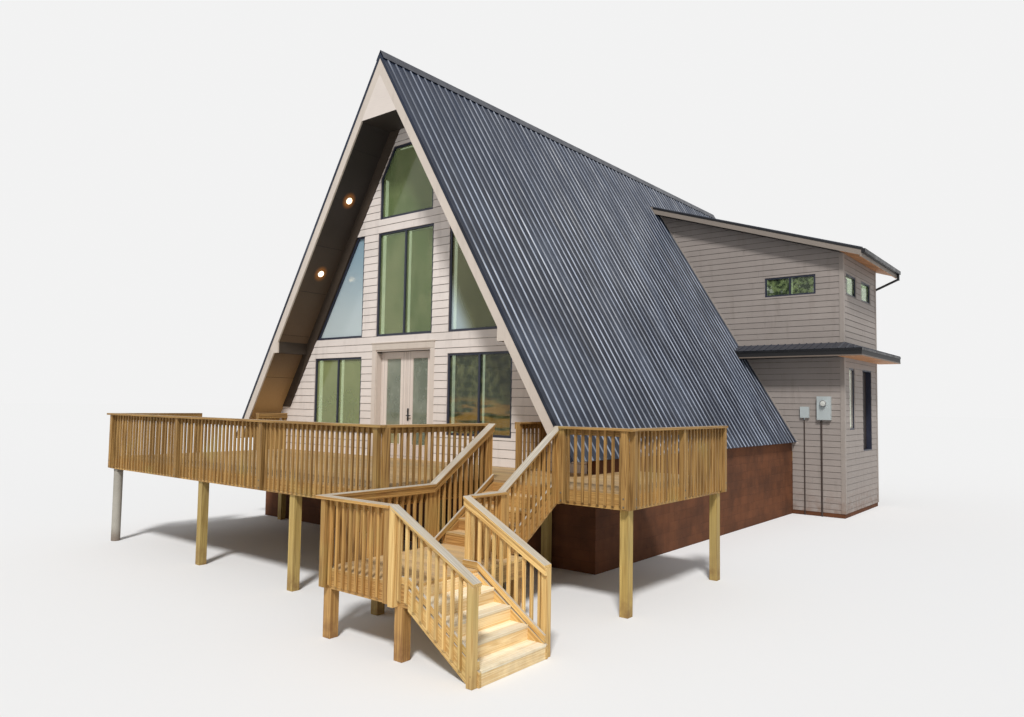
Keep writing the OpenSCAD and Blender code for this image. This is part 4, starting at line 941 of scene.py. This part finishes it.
# length, drop and level part of the sloped rails
UP, DOWN, GROUND = (1.375, 0.9, 0), (1.36, 0.72, LB - SR), BASE - LT
rails("stair_rail_upper", stair_rail, "rail_upper_flight",
      (sloped_rail, lambda x, y, z: (SR - y, -HEADY - x, z), *UP, RIM, LT, -SIDE_H,
       lambda x: LT + CLEAR if x > 1.08 else BASE),
      (sloped_rail, lambda x, y, z: (LA + y, -HEADY - x, z), *UP, RIM, LT + RIM, -SIDE_H,
       lambda x: LT + RIM + 0.045))
rails("landing_rail_front", stair_rail, "rail_landing_front",
      (rail, lambda x, y, z: (LA + x, LF + y, LT + z), UPW, [0, UPW - R], R, 0))
rails("landing_rail_sides", stair_rail, "rail_landing_sides",
      (rail, lambda x, y, z: (LA + y, -RB - x, LT + z), -LF - RB, [0, -LF - RB - R], 0, -OVER - SEAT, RIM, 0),
      (rail, lambda x, y, z: (SR - y, -RB - SHORT + x, LT + z), SHORT, [SHORT - R], 0, 0, 0))
rails("stair_rail_lower", lit_lower_rail, "rail_lower_flight",
      (sloped_rail, lambda x, y, z: (SR + x, LF + y, LT + z), *DOWN, RIM, GROUND, RIM,
       lambda x: GROUND + 0.03),
      (sloped_rail, lambda x, y, z: (SR + x, LF + LOWW - y, LT + z), *DOWN, 0, GROUND, RIM,
       lambda x: CLEAR if x < LB - SR + 0.04 else GROUND + 0.03))

# Screws on the roof sheets: one beside each rib, SCREW_STEP apart down the slope
SCREW_STEP, SCREW_ROWS, SCREW = 0.6, 17, [(-0.002, 0.009), (0.002, 0.009), (0.006, 0.005)]
sh = Shape()
for side in (1, -1):
    out = Vector((side * COS, 0, SIN))
    for i in range(78):
        y = METAL_Y0 + 0.1085 + i * PITCH + RIB_W + 0.02
        if y > METAL_Y0 + METAL_LEN - 0.03:
            break
        for j in range(SCREW_ROWS):
            s = 0.32 + j * SCREW_STEP
            x, z = s * SIN, RIDGE - s * COS
            if side == 1 and WING_Y - 0.7 < y < WING_B + 0.4 and z < wtop(x) + 0.1:
                continue
            sh.turned(Vector((side * x, y, z)) + out * 0.008, out, SCREW, 6)
sh.piece("roof_screws", cap_metal)

# Ribbed cover of the pent roof, with a mitred corner; E is how far it stands out
FALL_Y = (PENT_Z - PENT_Z1) / (WING_Y - PENT_Y)
FALL_X = (PENT_Z - PENT_Z1) / (PENT_X - WING_X)
E, PENT_END = 0.012, WING_B + OVERHANG


def zy(y):
    return PENT_Z - (WING_Y - y) * FALL_Y


def zx(x):
    return PENT_Z - (x - WING_X) * FALL_X


def cover(sh, outline, height):
    """Sheet over an outline in (x, y)."""
    sh.ring(*([(x, y, height(x, y) + d) for x, y in outline] for d in (0.0006, 0.005)))


def ribs(sh, first, last, ends, place):
    """Ribs side by side; ends gives where one starts and stops, place the point for (row, along, height)."""
    for i in range(math.floor((last - first) / PITCH / 0.9) + 1):
        at = first + i * PITCH * 0.9
        sec = [(at - 0.024, 0.004), (at + 0.024, 0.004), (at + 0.011, 0.024), (at - 0.011, 0.024)]
        sh.ring(*([place(u, end, h) for u, h in sec] for end in ends(at)))


sh = Shape()
corner = [(WING_X + 0.018, WING_Y - 0.018), (PENT_X + E, PENT_Y - E)]
cover(sh, [(hout(zy(WING_Y)) + 0.002, WING_Y - 0.018)] + corner + [(hout(zy(PENT_Y)) + 0.002, PENT_Y - E)],
      lambda x, y: zy(y))
cover(sh, [corner[0], (WING_X + 0.018, PENT_END), (PENT_X + E, PENT_END), corner[1]], lambda x, y: zx(x))
ribs(sh, hout(PENT_Z1) + 0.06, PENT_X - 0.05,
     lambda x: (PENT_Y - E, WING_Y - 0.019 if x < WING_X else WING_Y - (x - WING_X) - 0.01),
     lambda x, y, h: (x, y, zy(y) + h))
ribs(sh, PENT_Y + 0.10, WING_B + 0.33,
     lambda y: (WING_X + 0.019 if y > WING_Y else WING_X + (WING_Y - y) + 0.01, PENT_X + E),
     lambda y, x, h: (x, y, zx(x) + h))
# drip edge round the outside
sh.index = 1
z0, z1 = PENT_Z1 - 0.06, PENT_Z1 + 0.004
sh.board((hout(PENT_Z1) + 0.002, PENT_Y - E, z0), (PENT_X + E, PENT_Y - E + 0.004, z1))
sh.board((PENT_X + E - 0.004, PENT_Y - E, z0), (PENT_X + E, PENT_END, z1))
sh.piece("pent_cover", [small_sheet, black_metal])
sh = Shape()
x0 = (K * (RIDGE - wtop(0)) + SHEET_HX) / (1 - K * WT) + 0.06
for y0, y1 in ((WING_Y - 0.357, WING_Y - OVERHANG), (PENT_END, WING_B + 0.357)):
    sh.ring(*([(x, y0, z - 0.06), (x, y1, z - 0.06), (x, y1, z), (x, y0, z)]
              for x, z in ((x0, wtop(x0)), (WING_END, WING_Z))))
sh.piece("wing_drip_edge", black_metal)
sh = Shape()
t, z1 = 0.006, PENT_Z0 + 0.035
sh.board((hout(PENT_Z0) + 0.002, PENT_Y - t, PENT_Z0), (PENT_X + t, PENT_Y, z1))
sh.board((PENT_X, PENT_Y, PENT_Z0), (PENT_X + t, PENT_END, z1))
sh.piece("pent_edge", pent_trim)

# Bolts through the rail posts, two in each
BOLT = [(-0.002, 0.015), (0.002, 0.015), (0.0021, 0.0095), (0.007, 0.009), (0.009, 0.005)]
H = R / 2
sh = Shape()
posts = [(-DL + a, -DF - R, (0, -1, 0)) for a in (H, *MID_POSTS, DL + SX - H)]
posts += [(x, -HEADY - R, (0, -1, 0)) for x in (SR + R + H, DR - H)]
posts += [(DR + R, -HEADY + a, (1, 0, 0)) for a in (H, SIDE_POST, HEADY + DB - H)]
posts += [(-DL - R, -EAVE - WAY - a, (-1, 0, 0)) for a in (H, LEN_L - H)]
for x, y, d in posts:
    for z in (-0.085, -0.205):
        sh.turned((x, y, z), d, BOLT, 12)
sh.piece("post_bolts", dull_zinc)

# Mouldings round the door glass and lines along the stiles; L is a leaf's box, G its glass, HOLE its opening
LX0, LX1, LZ0, LZ1, LY0, LY1 = -0.869, -0.004, 0.038, 2.424, 0.146, 0.19
G = rect(LX0 + 0.198, LZ0 + 0.27, LX1 - 0.198, LZ1 - 0.16)
HOLE = rect(LX0 + 0.124, LZ0 + 0.269, LX1 - 0.124, LZ1 - 0.124)
OUTER, MIDDLE = inset(G, -0.022), inset(G, -0.008)


def leaf_board(sh, s, x0, x1, y0, y1, z0, z1):
    """Board on the left leaf, or mirrored for the right one."""
    sh.board((min(s * x0, s * x1), y0, z0), (max(s * x0, s * x1), y1, z1))


for s, leaf, body in ((1, "left", "left_leaf"), (-1, "right", "right_leaf")):
    sh = Shape()
    for x0, z0, x1 in ((HOLE[0][0], HOLE[0][1], G[0][0]), (G[1][0], HOLE[0][1], HOLE[1][0]),
                       (G[0][0], G[2][1], G[1][0])):
        leaf_board(sh, s, x0, x1, LY0 + 0.0005, LY1 - 0.0005, z0, HOLE[2][1])
    for y0, out in ((LY0 + 0.001, -0.01), (LY1 - 0.001, 0.01)):
        for i in range(4):
            j = (i + 1) % 4
            q = [(OUTER[i], y0), (OUTER[j], y0), (G[j], y0), (G[i], y0)]
            y1 = y0 + out * 0.35
            r = [(OUTER[i], y1), (OUTER[j], y1), (MIDDLE[j], y0 + out), (MIDDLE[i], y0 + out)]
            sh.ring(*([(s * p[0], y, p[1]) for p, y in end] for end in (q, r)))
    # the right leaf has no line on its meeting side
    for x in (LX0 + 0.05, LX1 - 0.05)[:1 if s == -1 else 2]:
        leaf_board(sh, s, x - 0.012, x + 0.012, LY0 - 0.005, LY0 + 0.001, LZ0 + 0.02, LZ1 - 0.02)
    sh.piece("moulding_" + leaf, moulding_paint, body, bevel=0.0015)

# Round meter on its panel: bezel, dial and glass
PANEL_X0, PANEL_D, PANEL_Z0, PANEL_H = WING_X - 0.72, 0.11, 0.94, 0.67
METER = (PANEL_X0 + 0.19, WING_Y - PANEL_D - 0.06, PANEL_Z0 + PANEL_H - 0.2)
dial = plain_metal("dial_face", lin(216, 214, 206), 0.4, 0.0)
clear = Mat("meter_glass", rough=0.04, spec=0.6, Alpha=0.28)
clear.done(clear.shade(lin(210, 218, 216), clear.noise(12, 2), 0.1))
for name, mat, n, hoop, rows in (
        ("meter_bezel", galvanised, 40, True,
         [(-0.03, 0.091), (0.004, 0.091), (0.010, 0.084), (0.010, 0.074), (-0.03, 0.073)]),
        ("meter_dial", dial, 32, False,
         [(0.003, 0.072), (0.006, 0.072), (0.0062, 0.030), (0.012, 0.028), (0.012, 0.012)]),
        ("meter_dome", clear.m, 32, False,
         [(0.006, 0.0725), (0.04, 0.070), (0.058, 0.060), (0.068, 0.040), (0.071, 0.012)])):
    sh = Shape()
    sh.turned(METER, (0, -1, 0), rows, n, hoop)
    sh.piece(name, mat, smooth=name == "meter_dome")

# Trim rings of the soffit lamps
RING = [(0.0005, 0.090), (0.008, 0.089), (0.015, 0.080), (0.015, 0.0755), (0.0005, 0.0753)]
sh = Shape()
for s in (1, -1):
    for z in LAMP_ZS:
        sh.turned((s * hin(z), LAMP_Y, z), (-s * COS, 0, -SIN), RING, 32, True)
sh.piece("lamp_rings", trim)

# Matt floor and even background
floor_mat = bpy.data.materials.new("floor")
floor_mat.use_nodes = True
inputs = floor_mat.node_tree.nodes["Principled BSDF"].inputs
inputs["Base Color"].default_value = (0.808, 0.816, 0.826, 1)
inputs["Roughness"].default_value = 1.0
inputs["Specular IOR Level"].default_value = 0.0
bm = bmesh.new()
bmesh.ops.create_circle(bm, cap_ends=True, segments=96, radius=400)
me = bpy.data.meshes.new("floor")
bm.to_mesh(me)
bm.free()
me.materials.append(floor_mat)
floor = show("floor", me)
floor.location = (0, 0, cad_box[0][2] - 0.002)

# The background is brighter where it is seen, and dimmer as a light
LIGHT, SEEN = 0.40, 0.89
world = bpy.data.worlds.new("studio")
scene.world = world
world.use_nodes = True
nodes, links = world.node_tree.nodes, world.node_tree.links
path = nodes.new("ShaderNodeLightPath")
seen = path.outputs["Is Camera Ray"]
for ray in ("Is Glossy Ray", "Is Transmission Ray"):
    n = nodes.new("ShaderNodeMath")
    n.operation = "MAXIMUM"
    links.new(seen, n.inputs[0])
    links.new(path.outputs[ray], n.inputs[1])
    seen = n.outputs[0]
n = nodes.new("ShaderNodeMapRange")
links.new(seen, n.inputs[0])
n.inputs[3].default_value = LIGHT
n.inputs[4].default_value = SEEN
links.new(n.outputs[0], nodes["Background"].inputs["Strength"])
nodes["Background"].inputs["Color"].default_value = (1, 1, 1, 1)

SUN_AZ, SUN_EL = math.radians(33), math.radians(50)
sun = bpy.data.lights.new("key", "SUN")
sun.energy = 2.85
sun.angle = math.radians(9)
sun.color = (1.0, 0.985, 0.965)
key = show("key", sun)
to_sun = Vector((math.sin(SUN_AZ) * math.cos(SUN_EL), -math.cos(SUN_AZ) * math.cos(SUN_EL), math.sin(SUN_EL)))
key.rotation_euler = to_sun.to_track_quat("Z", "Y").to_euler()
key.location = to_sun * 30

# Camera at the place and turn that the picture shows; focal length and width in pixels
EYE, YAW, TILT, ROLL = (12.5866, -11.696, 1.2644), 0.6767, 0.0604, 0.0154
FOCAL, WIDTH, SENSOR = 748.7, 1024, 36.0
fwd = Vector((-math.sin(YAW) * math.cos(TILT), math.cos(YAW) * math.cos(TILT), math.sin(TILT)))
r0 = Vector((math.cos(YAW), math.sin(YAW), 0))
u0 = r0.cross(fwd)
right = r0 * math.cos(ROLL) + u0 * math.sin(ROLL)
top = u0 * math.cos(ROLL) - r0 * math.sin(ROLL)
cam = bpy.data.cameras.new("camera")
cam.sensor_fit = "HORIZONTAL"
cam.sensor_width = SENSOR
cam.lens = FOCAL / WIDTH * SENSOR
cam.clip_end = 1000
eye = show("camera", cam)
turn = Matrix((right, top, -fwd)).transposed().to_4x4()
eye.matrix_world = Matrix.Translation(Vector(EYE) + ORIGIN) @ turn
scene.camera = eye
scene.view_settings.view_transform = "Standard"
